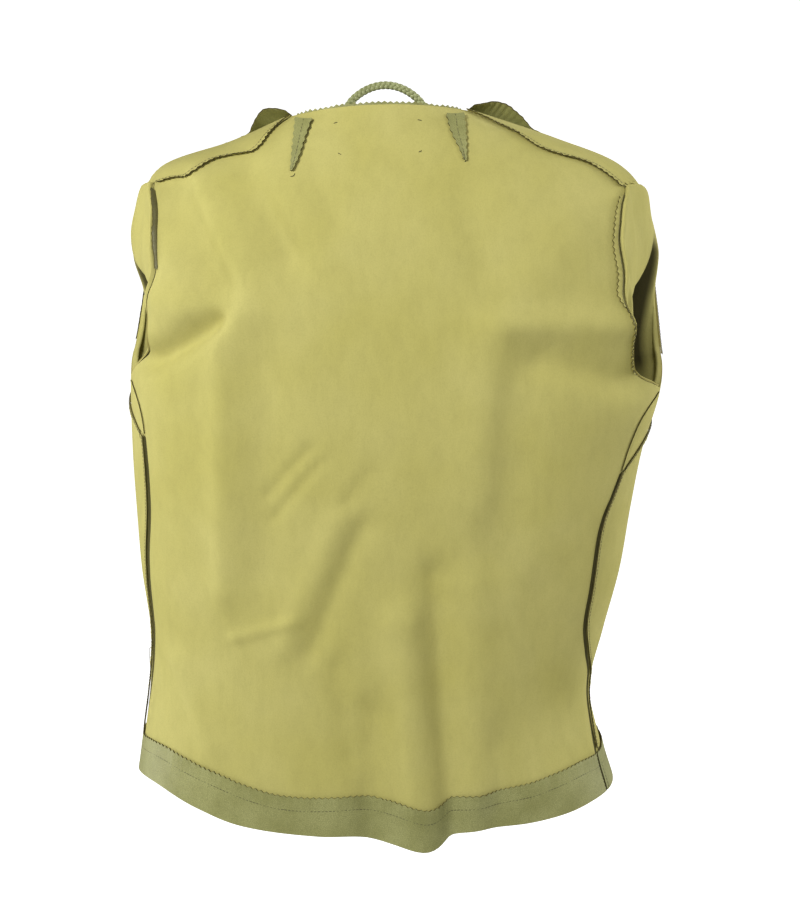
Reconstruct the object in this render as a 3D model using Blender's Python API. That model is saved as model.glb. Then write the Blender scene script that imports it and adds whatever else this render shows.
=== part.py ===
"""Leather jacket turned inside out, worn open and held at the shoulders.

Metres, +Z up. The wearer faces +Y, so the back of the jacket faces -Y and the
wearer's right is +X. The origin is the middle of the neck opening, level with
the neck ends of the shoulder seams.

The body of the jacket is one smooth form. A place on it is given by an angle
round the body, in degrees, and by a height share. The angle is 0 at the middle
of the back, 90 at the right side, 180 at the front and -90 at the left side.
The height share is 0 at the hem and 1 at the neck. Each cut piece is a stretch
of that form between two seams, with the thickness of the leather.
"""
import math

import bmesh
import bpy
import numpy as np

# Leather
WALL = 0.0015              # body panels and sleeves
TRIM_WALL = 0.0012         # allowances and facings
LAY_GAP = 0.0006           # clearance under a trim that lies on a panel
SEAM_DEGREES = 0.12        # half of the clearance across an upright seam
SEAM_SHARE = 0.0005        # half of the clearance across a level seam

# Trims
ALLOWANCE = 0.007          # width of a pinked seam allowance
SIDE_ALLOWANCE = 0.008
FACING_HEIGHT = 0.038      # hem facing, hem edge to pinked edge
NECK_STAND = 0.003         # how far the neck allowance stands above the neckline
LAPEL_LIFT = 0.013         # how far the top of the front facing stands off the shoulder
LAPEL_START = 0.925        # height share at which it starts to stand off
HEM_INSET = 0.0005         # hem facing starts this far above the hem edge

# Hanging loop, a plait of leather
LOOP_RADIUS = 0.0031
LOOP_LEFT = -0.030
LOOP_RIGHT = 0.044
LOOP_RISE = 0.0205         # middle of the plait above the neckline
LOOP_TAIL = 0.010          # length of each end below the neckline

# Heights above the shoulder point and half sizes of the body at each level
LEVELS = (
    # name, share, z_back, z_side, z_front, left, right, back, front, squareness
    ("hem", 0.00, -0.582, -0.571, -0.574, 0.211, 0.203, 0.125, 0.128, 2.4),
    ("hip", 0.07, -0.543, -0.536, -0.538, 0.206, 0.192, 0.124, 0.122, 2.4),
    ("waist", 0.17, -0.486, -0.484, -0.484, 0.200, 0.182, 0.121, 0.112, 2.4),
    ("ribs", 0.27, -0.430, -0.430, -0.430, 0.199, 0.193, 0.120, 0.112, 2.5),
    ("midriff", 0.37, -0.376, -0.376, -0.376, 0.205, 0.206, 0.121, 0.118, 2.6),
    ("bust", 0.47, -0.323, -0.322, -0.322, 0.208, 0.214, 0.122, 0.127, 2.7),
    ("high_bust", 0.56, -0.274, -0.270, -0.270, 0.210, 0.223, 0.122, 0.131, 2.8),
    ("underarm", 0.65, -0.222, -0.212, -0.214, 0.210, 0.238, 0.120, 0.126, 2.9),
    ("chest", 0.76, -0.150, -0.135, -0.140, 0.206, 0.236, 0.113, 0.110, 3.1),
    ("blade", 0.85, -0.090, -0.070, -0.080, 0.200, 0.225, 0.102, 0.092, 3.1),
    ("tip", 0.90, -0.058, -0.036, -0.045, 0.183, 0.203, 0.093, 0.080, 2.8),
    ("slope", 0.95, -0.020, -0.014, -0.020, 0.125, 0.148, 0.078, 0.070, 2.5),
    ("neck", 1.00, 0.019, 0.008, -0.002, 0.078, 0.078, 0.058, 0.066, 2.2),
)

# The hem edge is uneven: how far it lies above its level, by angle
HEM_RISE = (
    # degrees, rise
    (-180, 0.000), (-110, 0.002), (-85, 0.012), (-62, 0.018), (-43, 0.010),
    (-30, 0.003), (-10, 0.000), (-4, 0.000), (2, -0.006), (7, -0.011), (10, -0.009), (14, -0.001),
    (28, 0.002), (49, 0.002), (62, 0.003), (90, 0.001), (180, 0.000),
)
HEM_RISE_FADE = 0.30       # height share at which that unevenness has gone
NECK_TILT = 0.0025         # the neckline is this much higher on the right, lower on the left
NECK_TILT_START = 0.90

# Soft folds of the leather: ridges stand out, hollows go in
FOLDS = (
    # face, x_from, z_from, x_to, z_to, half_width, height
    ("back", -0.200, -0.190, -0.140, -0.165, 0.020, -0.0060),
    ("back", -0.172, -0.060, -0.160, -0.120, 0.016, -0.0035),
    ("back", -0.120, -0.050, -0.100, -0.120, 0.020, -0.0025),
    ("back", -0.135, -0.215, -0.128, -0.380, 0.022, 0.0040),
    ("back", -0.065, -0.200, -0.055, -0.420, 0.040, -0.0035),
    ("back", 0.040, -0.180, 0.060, -0.330, 0.045, 0.0040),
    ("back", 0.105, -0.165, 0.110, -0.330, 0.022, -0.0045),
    ("back", 0.165, -0.185, 0.140, -0.280, 0.020, 0.0040),
    ("back", 0.100, -0.370, 0.105, -0.500, 0.030, -0.0035),
    ("back", -0.012, -0.520, -0.010, -0.600, 0.020, -0.0040),
    ("back", 0.036, -0.500, 0.040, -0.600, 0.018, 0.0060),
    ("back", 0.092, -0.520, 0.096, -0.600, 0.020, -0.0035),
    ("front", -0.110, -0.200, -0.115, -0.420, 0.030, 0.0040),
    ("front", -0.060, -0.300, -0.050, -0.560, 0.026, -0.0040),
    ("front", 0.100, -0.180, 0.120, -0.440, 0.030, 0.0040),
    ("front", 0.150, -0.210, 0.090, -0.260, 0.018, -0.0040),
    ("front", 0.060, -0.330, 0.050, -0.570, 0.026, -0.0040),
)

# Seams: height share and angle, right side and left side
SIDE_SEAM = {
    "right": ((0.00, 72.0), (0.08, 73.0), (0.14, 76.0), (0.20, 73.0), (0.25, 63.0),
              (0.30, 56.5), (0.36, 54.3), (0.44, 53.3), (0.48, 54.3), (0.51, 57.0),
              (0.55, 60.0), (0.585, 61.0), (0.614, 63.0), (0.63, 68.0), (0.645, 78.0)),
    "left": ((0.00, -85.0), (0.10, -84.0), (0.15, -80.0), (0.20, -76.0), (0.25, -73.0),
             (0.30, -70.5), (0.36, -68.0), (0.41, -66.0), (0.48, -62.0), (0.54, -61.0),
             (0.59, -62.0), (0.62, -64.0), (0.645, -70.0), (0.66, -80.0)),
}
ARMHOLE_BACK = {
    "right": ((0.645, 78.0), (0.665, 63.0), (0.688, 56.0), (0.723, 52.0), (0.743, 50.0),
              (0.772, 49.5), (0.797, 50.5), (0.831, 50.5), (0.849, 52.7), (0.870, 58.0),
              (0.886, 67.0)),
    "left": ((0.66, -80.0), (0.68, -72.0), (0.70, -65.0), (0.72, -61.0), (0.765, -57.0),
             (0.797, -55.0), (0.814, -56.0), (0.841, -58.7), (0.866, -64.4), (0.886, -76.0)),
}
ARMHOLE_FRONT = {
    "right": ((0.645, 78.0), (0.66, 86.0), (0.69, 93.0), (0.73, 97.0), (0.77, 99.0),
              (0.81, 100.0), (0.84, 98.0), (0.86, 93.0), (0.873, 86.0), (0.882, 77.0),
              (0.886, 67.0)),
    "left": ((0.66, -80.0), (0.675, -88.0), (0.70, -96.0), (0.74, -102.0), (0.78, -105.0),
             (0.82, -105.0), (0.85, -101.0), (0.868, -94.0), (0.879, -86.0), (0.886, -76.0)),
}
SHOULDER_SEAM = {
    "right": ((0.886, 67.0), (0.902, 66.5), (0.914, 66.5), (0.925, 65.0), (0.937, 60.0),
              (0.945, 58.0), (0.953, 59.0), (0.968, 62.5), (0.984, 64.5), (1.0, 66.0)),
    "left": ((0.886, -76.0), (0.895, -71.0), (0.904, -63.0), (0.916, -60.5), (0.930, -63.0),
             (0.938, -60.0), (0.945, -53.0), (0.955, -53.0), (0.970, -59.0), (0.985, -65.0),
             (1.0, -69.0)),
}
FRONT_EDGE = ((0.0, 177.3), (0.45, 177.0), (0.58, 174.0), (0.68, 166.0), (0.78, 155.0),
              (0.88, 142.0), (0.95, 128.0), (1.0, 112.0))

# The curved seam that parts each front: angle and height share
FRONT_SEAM = {
    "right": ((52.0, 0.510), (59.2, 0.540), (75, 0.582), (92, 0.602), (115, 0.622),
              (145, 0.630), (180, 0.600)),
    "left": ((52.0, 0.575), (62.0, 0.590), (75, 0.615), (92, 0.632), (115, 0.640),
             (145, 0.638), (180, 0.605)),
}
FRONT_SEAM_START = {"right": 0.54, "left": 0.59}

# The sleeve: rings from the armhole seam, over the puffed cap, into the body and down
SLEEVE_RINGS = (
    # name, out_top, out_low, fall, drop, half_across, lean, follow, roll
    ("cap_high", 0.0070, -0.0040, 0.020, 0.000, 0.940, 0.0, 0.92, 0.08),
    ("cap_full", 0.0100, -0.0080, 0.043, 0.000, 0.910, 0.0, 0.84, 0.26),
    ("cap_low", 0.0090, -0.0120, 0.066, 0.000, 0.880, 2.0, 0.74, 0.50),
    ("cap_edge", 0.0020, -0.0160, 0.078, 0.000, 0.850, 6.0, 0.62, 0.64),
    ("cap_under", -0.0110, -0.0230, 0.080, 0.001, 0.820, 12.0, 0.42, 0.60),
    ("mouth", -0.0270, -0.0330, 0.078, 0.003, 0.790, 24.0, 0.16, 0.44),
    ("throat", -0.0450, -0.0470, 0.078, 0.012, 0.770, 40.0, 0.05, 0.24),
    ("bend", -0.0650, -0.0650, 0.080, 0.030, 0.770, 60.0, 0.00, 0.08),
    ("upper", -0.0800, -0.0800, 0.082, 0.060, 0.780, 76.0, 0.00, 0.00),
)
CAP_PUFF = {"left": 0.007, "right": 0.0}   # how much further each cap swells at its fullest
SLEEVE_INSET = {"left": 0.0020, "right": 0.0012}   # first ring, from the seam into the armhole
SLEEVE_RISE = 0.0035       # second ring, above the body's wall
SLEEVE_SINK = 0.0045       # the same under the arm, where it turns straight in
SLEEVE_TUBE = (
    # name, x, y, z, half_width, half_depth
    ("biceps", 0.126, -0.010, -0.262, 0.043, 0.048),
    ("above_elbow", 0.121, -0.008, -0.315, 0.041, 0.046),
    ("elbow", 0.117, -0.004, -0.370, 0.040, 0.043),
    ("forearm", 0.114, 0.002, -0.425, 0.037, 0.041),
    ("low_arm", 0.112, 0.004, -0.480, 0.034, 0.039),
    ("cuff", 0.111, 0.004, -0.533, 0.032, 0.038),
)

# Neck darts, as seen from the back: the open allowance from neckline to point
DARTS = {
    "left": (
        # z, x_outer, x_middle, x_inner
        (0.0060, -0.0680, -0.0600, -0.0522),
        (-0.0075, -0.0692, -0.0633, -0.0575),
        (-0.0200, -0.0705, -0.0662, -0.0620),
        (-0.0330, -0.0712, -0.0700, -0.0685),
    ),
    "right": (
        (0.0098, 0.0690, 0.0610, 0.0527),
        (-0.0040, 0.0705, 0.0635, 0.0570),
        (-0.0150, 0.0708, 0.0668, 0.0630),
        (-0.0250, 0.0704, 0.0692, 0.0680),
    ),
}
DART_CURL = 0.0008         # how far the pinked edges of a dart curl up
DART_LIFT = 0.0009         # extra clearance over the rounded back of the neck

# Height shares of the rows of every panel. The front seams, the underarms and the
# shoulder tips have a row of their own, so the pieces meet point to point.
SHARES = (
    0.0, 0.05, 0.10, 0.15, 0.20, 0.25, 0.30, 0.36, 0.42, 0.48, 0.54, 0.59, 0.62,
    0.645, 0.66, 0.675, 0.69, 0.71, 0.73, 0.75, 0.775, 0.80, 0.82, 0.84, 0.855,
    0.868, 0.878, 0.886, 0.90, 0.914, 0.926, 0.938, 0.95, 0.962, 0.974, 0.987, 1.0,
)
TIP_SHARE = 0.886
BACK_COLUMNS = 23
FRONT_COLUMNS = 10

COLOURS = {
    "flesh": (0.50, 0.45, 0.16),
    "grain": (0.30, 0.30, 0.12),
    "loop": (0.27, 0.30, 0.12),
}


def blend_rows(rows, position):
    """A smooth curve through rows whose first column is the position."""
    table = np.asarray(rows, dtype=float)
    position = min(max(position, table[0, 0]), table[-1, 0])
    k = min(int(np.searchsorted(table[:, 0], position, side="right")) - 1, len(table) - 2)
    low, high = table[k], table[k + 1]
    before = table[k - 1] if k > 0 else low
    after = table[k + 2] if k + 2 < len(table) else high
    span = high[0] - low[0]
    s = (position - low[0]) / span
    slope_low = (high - before) / (high[0] - before[0]) * span
    slope_high = (after - low) / (after[0] - low[0]) * span
    return ((2 * s**3 - 3 * s**2 + 1) * low + (s**3 - 2 * s**2 + s) * slope_low
            + (3 * s**2 - 2 * s**3) * high + (s**3 - s**2) * slope_high)


LEVEL_TABLE = tuple(row[1:] for row in LEVELS)


def fold_height(face, x, z):
    """Sum of the soft folds of one face at a place seen square on."""
    total = 0.0
    for fold_face, xa, za, xb, zb, half_width, height in FOLDS:
        if fold_face != face:
            continue
        ux, uz = xb - xa, zb - za
        length = math.hypot(ux, uz)
        along = ((x - xa) * ux + (z - za) * uz) / length**2
        across = abs((x - xa) * uz - (z - za) * ux) / length
        beyond = max(0.0, -along, along - 1.0) * length
        total += height * math.exp(-(across / half_width) ** 2 - (beyond / (1.4 * half_width)) ** 2)
    return total


def body_point(degrees, share):
    """The middle of the body's wall at an angle and a height share."""
    _, z_back, z_side, z_front, left, right, back, front, square = blend_rows(LEVEL_TABLE, share)
    turn = math.radians(degrees)
    s, c = math.sin(turn), math.cos(turn)
    wide = right if s > 0 else left
    deep, z_end = (back, z_back) if c > 0 else (front, z_front)
    power = 2.0 / square
    x = wide * math.copysign(abs(s) ** power, s)
    y = -deep * math.copysign(abs(c) ** power, c)
    z = z_side + (z_end - z_side) * c * c
    z += NECK_TILT * s * max(0.0, (share - NECK_TILT_START) / (1.0 - NECK_TILT_START))
    fade = max(0.0, 1.0 - share / HEM_RISE_FADE)
    z += blend_rows(HEM_RISE, degrees)[1] * fade
    swell = fold_height("back" if c > 0 else "front", x, z) * min(1.0, abs(c) * 2.5)
    reach = math.hypot(x, y)
    return np.array([x + swell * x / reach, y + swell * y / reach, z])


def body_normal(degrees, share):
    """The outward direction of the body's wall."""
    turn, rise = 0.6, 0.006
    low, high = max(share - rise, 0.0), min(share + rise, 1.0)
    around = body_point(degrees + turn, share) - body_point(degrees - turn, share)
    upward = body_point(degrees, high) - body_point(degrees, low)
    normal = np.cross(around, upward)
    return normal / np.linalg.norm(normal)


def edge_angle(side, share, face):
    """The angle of a panel's outer edge: side seam, armhole, then shoulder seam."""
    armhole = (ARMHOLE_BACK if face == "back" else ARMHOLE_FRONT)[side]
    if share <= armhole[0][0]:
        return blend_rows(SIDE_SEAM[side], share)[1]
    if share <= armhole[-1][0]:
        return blend_rows(armhole, share)[1]
    return blend_rows(SHOULDER_SEAM[side], share)[1]


def place_on_back(x, z):
    """The angle and height share of a place on the back, seen square on."""
    low, high = 0.30, 1.0
    for _ in range(40):
        share = (low + high) / 2
        right_limit, left_limit = 80.0, -80.0
        for _ in range(30):
            angle = (right_limit + left_limit) / 2
            if body_point(angle, share)[0] < x:
                left_limit = angle
            else:
                right_limit = angle
        if body_point(angle, share)[2] < z:
            low = share
        else:
            high = share
    return angle, share


def material(name):
    found = bpy.data.materials.get(name)
    if found:
        return found
    made = bpy.data.materials.new(name)
    made.use_nodes = True
    shader = made.node_tree.nodes["Principled BSDF"]
    shader.inputs["Base Color"].default_value = (*COLOURS[name], 1.0)
    shader.inputs["Roughness"].default_value = 0.85 if name == "flesh" else 0.55
    shader.inputs["Metallic"].default_value = 0.0
    return made


def leather(name, points, normals, thickness, finish, ring=False):
    """A wall of leather round a grid of points on its middle surface."""
    points, normals = np.asarray(points), np.asarray(normals)
    rows, columns = points.shape[:2]
    bm = bmesh.new()
    skins = []
    for half in (thickness / 2, -thickness / 2):
        moved = points + normals * half
        skins.append([[bm.verts.new(moved[i, j]) for j in range(columns)] for i in range(rows)])
    steps = columns if ring else columns - 1
    for i in range(rows - 1):
        for j in range(steps):
            k = (j + 1) % columns
            for skin in skins:
                bm.faces.new((skin[i][j], skin[i][k], skin[i + 1][k]))
                bm.faces.new((skin[i][j], skin[i + 1][k], skin[i + 1][j]))
    rims = [[(i, j) for j in range(columns)] + ([(i, 0)] if ring else []) for i in (0, rows - 1)]
    if not ring:
        rims += [[(i, j) for i in range(rows)] for j in (0, columns - 1)]
    for rim in rims:
        for (i, j), (m, n) in zip(rim, rim[1:]):
            bm.faces.new((skins[0][i][j], skins[0][m][n], skins[1][m][n], skins[1][i][j]))
    bmesh.ops.recalc_face_normals(bm, faces=bm.faces)
    mesh = bpy.data.meshes.new(name)
    bm.to_mesh(mesh)
    bm.free()
    mesh.shade_smooth()
    mesh.set_sharp_from_angle(angle=math.radians(40))
    made = bpy.data.objects.new(name, mesh)
    made.data.materials.append(material(finish))
    bpy.context.scene.collection.objects.link(made)
    return made


def spaced(low, high, count):
    return [low + (high - low) * i / (count - 1) for i in range(count)]


def body_grid(places):
    """Points of the body's wall and its outward directions at a grid of places."""
    points = np.array([[body_point(*place) for place in row] for row in places])
    normals = np.array([[body_normal(*place) for place in row] for row in places])
    return points, normals


def between(grid, row, column):
    """A point on a panel's facets, between its grid lines, and its direction."""
    points, normals = grid
    i = min(int(row), points.shape[0] - 2)
    j = min(int(column), points.shape[1] - 2)
    s, t = row - i, column - j
    mixed = []
    for values in (points, normals):
        corner = values[i, j] * (1 - max(s, t)) + values[i + 1, j + 1] * min(s, t)
        other = values[i, j + 1] * (t - s) if t >= s else values[i + 1, j] * (s - t)
        mixed.append(corner + other)
    return mixed[0], mixed[1] / np.linalg.norm(mixed[1])


def laid(name, places, lift, thickness, finish):
    """Leather laid on panels: rows of (grid, row, column), each moved out by its lift."""
    lift = np.broadcast_to(lift, (len(places), len(places[0])))
    points, normals = [], []
    for i, row in enumerate(places):
        pairs = [between(*place) for place in row]
        points.append([point + normal * lift[i, j] for j, (point, normal) in enumerate(pairs)])
        normals.append([normal for _, normal in pairs])
    return leather(name, points, normals, thickness, finish)


ON_PANEL = WALL / 2 + LAY_GAP + TRIM_WALL / 2
SEAM_EDGE = 0.0004         # an allowance starts this far from its panel's edge


def back_grid():
    places = []
    for share in SHARES:
        left = edge_angle("left", share, "back") + SEAM_DEGREES
        right = edge_angle("right", share, "back") - SEAM_DEGREES
        places.append([(angle, share) for angle in spaced(left, right, BACK_COLUMNS)])
    return body_grid(places)


def front_angle(side, across, share):
    """Across is 0 at the side of the body and 1 at the front edge."""
    sign = 1 if side == "right" else -1
    start = edge_angle(side, share, "front") + sign * SEAM_DEGREES
    end = sign * blend_rows(FRONT_EDGE, share)[1]
    return start + (end - start) * across


def front_grid(side, part):
    """Rows run from the side seam, at the back's own rows, to the front edge."""
    start = FRONT_SEAM_START[side]
    if part == "lower":
        heights = [share / start for share in SHARES if share <= start]
    else:
        heights = [(share - start) / (1.0 - start) for share in SHARES if share >= start]
    places = [[] for _ in heights]
    for across in spaced(0.0, 1.0, FRONT_COLUMNS):
        seam = start
        for _ in range(12 if across > 0.0 else 0):
            seam = blend_rows(FRONT_SEAM[side], abs(front_angle(side, across, seam)))[1]
        for row, up in zip(places, heights):
            if part == "lower":
                share = up * seam - (SEAM_SHARE if up == 1.0 else 0.0)
            else:
                share = seam + up * (1.0 - seam) + (SEAM_SHARE if up == 0.0 else 0.0)
            row.append((front_angle(side, across, share), share))
    return body_grid(places)


def side_strip(grid, rows, parts, edge):
    """Places along a panel's first or last column, parts metres in from it."""
    points = grid[0]
    last = points.shape[1] - 1
    strip = []
    for row in rows:
        here, _ = between(grid, row, 0 if edge == "first" else last)
        inner, _ = between(grid, row, 1 if edge == "first" else last - 1)
        cell = np.linalg.norm(inner - here)
        columns = [part / cell if edge == "first" else last - part / cell for part in parts]
        strip.append([(grid, row, column) for column in sorted(columns)])
    return strip


def with_middles(rows):
    """Row positions with one more between each two."""
    return sorted(list(rows) + [(low + high) / 2 for low, high in zip(rows, rows[1:])])


def row_at_height(grid, column, height):
    """The row position that lies a length above the panel's lowest row."""
    points = grid[0]
    below = 0.0
    for i in range(points.shape[0] - 1):
        step = np.linalg.norm(between(grid, i + 1, column)[0] - between(grid, i, column)[0])
        if below + step >= height:
            return i + (height - below) / step
        below += step
    return float(points.shape[0] - 1)


def make_panels():
    grids = {"back": back_grid()}
    for side in ("left", "right"):
        for part in ("lower", "upper"):
            grids["front_%s_%s" % (part, side)] = front_grid(side, part)
    for name, (points, normals) in grids.items():
        leather(name, points, normals, WALL, "flesh")
    return grids


def make_hem_facings(grids):
    """A band of grain leather inside every hem, here seen outside."""
    homes = {"hem_facing_back": "back", "hem_facing_left": "front_lower_left",
             "hem_facing_right": "front_lower_right"}
    for name, home in homes.items():
        grid = grids[home]
        columns = list(range(grid[0].shape[1]))
        columns[0] += 0.04
        columns[-1] -= 0.04
        low = [(grid, row_at_height(grid, column, HEM_INSET), column) for column in columns]
        middle = [(grid, 1.0, column) for column in columns]
        high = [(grid, row_at_height(grid, column, FACING_HEIGHT), column) for column in columns]
        laid(name, [low, middle, high], ON_PANEL, TRIM_WALL, "grain")


def make_front_facings(grids):
    """The facing along each front edge, which stands off at the shoulder as a lapel."""
    for side in ("left", "right"):
        lower, upper = grids["front_lower_" + side], grids["front_upper_" + side]
        start = FRONT_SEAM_START[side]
        lower_last, upper_last = lower[0].shape[0] - 1, upper[0].shape[0] - 1
        first = row_at_height(lower, FRONT_COLUMNS - 1, FACING_HEIGHT) + 0.12
        stops = [(lower, row) for row in [first] + list(range(2, lower_last))]
        stops += [(upper, row) for row in range(upper_last)] + [(upper, upper_last - 0.05)]
        places, lifts = [], []
        for grid, row in stops:
            columns = [FRONT_COLUMNS - 1 - part for part in (2.0, 1.0, 0.04)]
            share = start + (1.0 - start) * row / upper_last if grid is upper else 0.0
            rise = max(0.0, (share - LAPEL_START) / (1.0 - LAPEL_START))
            places.append([(grid, row, column) for column in columns])
            lifts.append([ON_PANEL + LAPEL_LIFT * rise * part for part in (1.0, 0.4, 0.0)])
        laid("front_facing_" + side, places, np.array(lifts), TRIM_WALL, "grain")


def make_side_allowances(grids):
    """Side seams, pressed to the front, from the hem facing to below the front seam."""
    for side in ("left", "right"):
        grid = grids["front_lower_" + side]
        last = grid[0].shape[0] - 1
        low = row_at_height(grid, 0, FACING_HEIGHT) + 0.05
        rows = with_middles(with_middles([low] + list(range(2, last)) + [last - 0.05]))
        strip = side_strip(grid, rows, (SEAM_EDGE, SIDE_ALLOWANCE), "first")
        laid("side_allowance_" + side, strip, ON_PANEL, TRIM_WALL, "flesh")


def make_underarm_allowances(grids):
    """The short stretch of side seam between the front seam and the armhole."""
    for side in ("left", "right"):
        grid = grids["front_upper_" + side]
        shares = [share for share in SHARES if share >= FRONT_SEAM_START[side]]
        top = shares.index(ARMHOLE_BACK[side][0][0])
        rows = [0.15] + list(range(1, top))
        strip = side_strip(grid, rows, (SEAM_EDGE, ALLOWANCE), "first")
        laid("underarm_allowance_" + side, strip, ON_PANEL, TRIM_WALL, "flesh")


def make_front_seam_allowances(grids):
    """Allowances of the curved front seams, laid on the lower fronts."""
    for side in ("left", "right"):
        grid = grids["front_lower_" + side]
        last = grid[0].shape[0] - 1
        first_cell = np.linalg.norm(grid[0][last, 1] - grid[0][last, 0])
        start = (SIDE_ALLOWANCE + 0.002) / first_cell
        columns = [start] + list(range(1, FRONT_COLUMNS - 3)) + [FRONT_COLUMNS - 3.75]
        columns = sorted(column for column in columns if column <= FRONT_COLUMNS - 3.7)
        places = []
        for part in (ALLOWANCE, SEAM_EDGE):
            row = []
            for column in columns:
                top, _ = between(grid, last, column)
                below, _ = between(grid, last - 1, column)
                row.append((grid, last - part / np.linalg.norm(top - below), column))
            places.append(row)
        laid("front_seam_allowance_" + side, places, ON_PANEL, TRIM_WALL, "flesh")


def make_shoulder_allowances(grids):
    """Both plies of each shoulder seam, pressed towards the back."""
    grid = grids["back"]
    tip = SHARES.index(TIP_SHARE)
    rows = with_middles([tip + 1] + list(range(tip + 2, len(SHARES) - 1)) + [len(SHARES) - 1.4])
    for side, edge in (("left", "first"), ("right", "last")):
        strip = side_strip(grid, rows, (SEAM_EDGE, ALLOWANCE), edge)
        laid("shoulder_allowance_" + side, strip, ON_PANEL, TRIM_WALL, "flesh")


def make_armhole_allowances(grids):
    """The right armhole's allowance lies on the body, the left one stands up."""
    for side in ("left", "right"):
        for face in ("back", "front"):
            grid = grids["back" if face == "back" else "front_upper_" + side]
            skip = 0 if face == "back" else SHARES.index(FRONT_SEAM_START[side])
            low = SHARES.index(ARMHOLE_BACK[side][0][0]) - skip
            high = SHARES.index(TIP_SHARE) - skip
            rows = with_middles(list(range(low + 2, high)))
            edge = "last" if (side, face) == ("right", "back") else "first"
            name = "armhole_allowance_%s_%s" % (face, side)
            if side == "right":
                strip = side_strip(grid, rows, (SEAM_EDGE, ALLOWANCE), edge)
                laid(name, strip, ON_PANEL, TRIM_WALL, "flesh")
                continue
            foot = WALL / 2 + LAY_GAP
            points, normals = [], []
            for (_, row, column), (_, _, inner) in side_strip(
                    grid, rows, (TRIM_WALL / 2 + SEAM_EDGE, ALLOWANCE), edge):
                point, normal = between(grid, row, column)
                inside, _ = between(grid, row, inner)
                across = inside - point
                across -= normal * np.dot(across, normal)
                across /= np.linalg.norm(across)
                points.append([point + normal * (foot + part) for part in (0.0, ALLOWANCE)])
                normals.append([across, across])
            leather(name, points, normals, TRIM_WALL, "grain")


def armhole_ring(side):
    """Seam points up the back, over the tip and down the front, with directions."""
    shares = SHARES[SHARES.index(ARMHOLE_BACK[side][0][0]):SHARES.index(TIP_SHARE) + 1]
    places = [(edge_angle(side, share, "back"), share) for share in shares]
    places += [(edge_angle(side, share, "front"), share) for share in shares[-2:0:-1]]
    seam = np.array([body_point(*place) for place in places])
    outward = np.array([body_normal(*place) for place in places])
    tangents = np.roll(seam, -1, axis=0) - np.roll(seam, 1, axis=0)
    inward = np.cross(tangents, outward)
    inward /= np.linalg.norm(inward, axis=1)[:, None]
    if np.sum(inward * (seam.mean(axis=0) - seam)) < 0:
        inward = -inward
    return seam, outward, inward


def sleeve_rings(side):
    """Rings of the sleeve's middle surface, seam first."""
    sign = 1 if side == "right" else -1
    seam, outward, inward = armhole_ring(side)
    low, high = seam.min(axis=0), seam.max(axis=0)
    centre = (low + high) / 2
    up_half = (high[2] - low[2]) / 2
    across_half = (high[1] - low[1]) / 2
    up = (seam[:, 2] - centre[2]) / up_half
    across = (seam[:, 1] - centre[1]) / across_half
    sideways = seam[:, 0] - centre[0]
    turn = np.arctan2(up, across)
    upper = np.clip((up + 0.7) / 1.1, 0.0, 1.0)
    upper = upper * upper * (3 - 2 * upper)
    rise = SLEEVE_RISE * upper - SLEEVE_SINK * (1 - upper)
    rings = [seam + inward * SLEEVE_INSET[side] - outward * WALL / 2,
             seam + inward * 2 * SLEEVE_INSET[side] + outward * rise[:, None]]
    for _, top, bottom, fall, drop, share_across, lean, follow, roll in SLEEVE_RINGS:
        tilt = math.radians(lean)
        upright = np.array([-sign * math.sin(tilt), 0.0, math.cos(tilt)])
        u = up * follow + np.sin(turn) * (1 - follow)
        w = across * follow + np.cos(turn) * (1 - follow)
        puff = CAP_PUFF[side] * max(0.0, top) / SLEEVE_RINGS[1][1]
        out = bottom + (top + puff - bottom) * upper
        height = u * up_half + fall / 2 - fall * ((u + 1) / 2) ** (1 + follow)
        ring = (centre - np.array([0.0, 0.0, drop + fall / 2])
                + np.outer(height, upright)
                + np.outer(w * across_half * share_across, (0.0, 1.0, 0.0)))
        ring[:, 0] += sideways * follow + sign * out
        ring[:, 2] += roll * w * across_half * share_across * upper
        rings.append(ring)
    for _, x, y, z, half_width, half_depth in SLEEVE_TUBE:
        ring = np.empty_like(seam)
        ring[:, 0] = sign * (x - half_width * np.sin(turn))
        ring[:, 1] = y + half_depth * np.cos(turn)
        ring[:, 2] = z
        rings.append(ring)
    return np.array(rings)


def tube_normals(points):
    """Normals of a closed tube of rings."""
    around = np.roll(points, -1, axis=1) - np.roll(points, 1, axis=1)
    along = np.gradient(points, axis=0)
    normals = np.cross(around, along)
    return normals / np.linalg.norm(normals, axis=2)[..., None]


def make_sleeves():
    for side in ("left", "right"):
        rings = sleeve_rings(side)
        leather("sleeve_" + side, rings, tube_normals(rings), WALL, "flesh", ring=True)


def make_darts():
    """The cut allowance of each neck dart, laid open on the back."""
    for side, sections in DARTS.items():
        points, normals = [], []
        for z, *across in sections:
            places = [place_on_back(x, z) for x in across]
            row, facing = [], []
            for place, curl in zip(places, (DART_CURL, 0.0, DART_CURL)):
                facing.append(body_normal(*place))
                row.append(body_point(*place) + facing[-1] * (ON_PANEL + DART_LIFT + curl))
            points.append(row)
            normals.append(facing)
        leather("dart_allowance_" + side, points, normals, TRIM_WALL, "grain")


def make_neck_allowance(grids):
    """The allowance of the back neckline, standing just above it inside the wall."""
    grid = grids["back"]
    last = len(SHARES) - 1
    columns = range(1, BACK_COLUMNS - 1)
    points, normals = [], []
    for row in (last - 0.85, last):
        pairs = [between(grid, row, column) for column in columns]
        points.append([point - normal * ON_PANEL for point, normal in pairs])
        normals.append([normal for _, normal in pairs])
    points.append([point + np.array([0.0, 0.0, NECK_STAND]) for point in points[-1]])
    normals.append(normals[-1])
    leather("neck_allowance", points, normals, TRIM_WALL, "grain")


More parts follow.
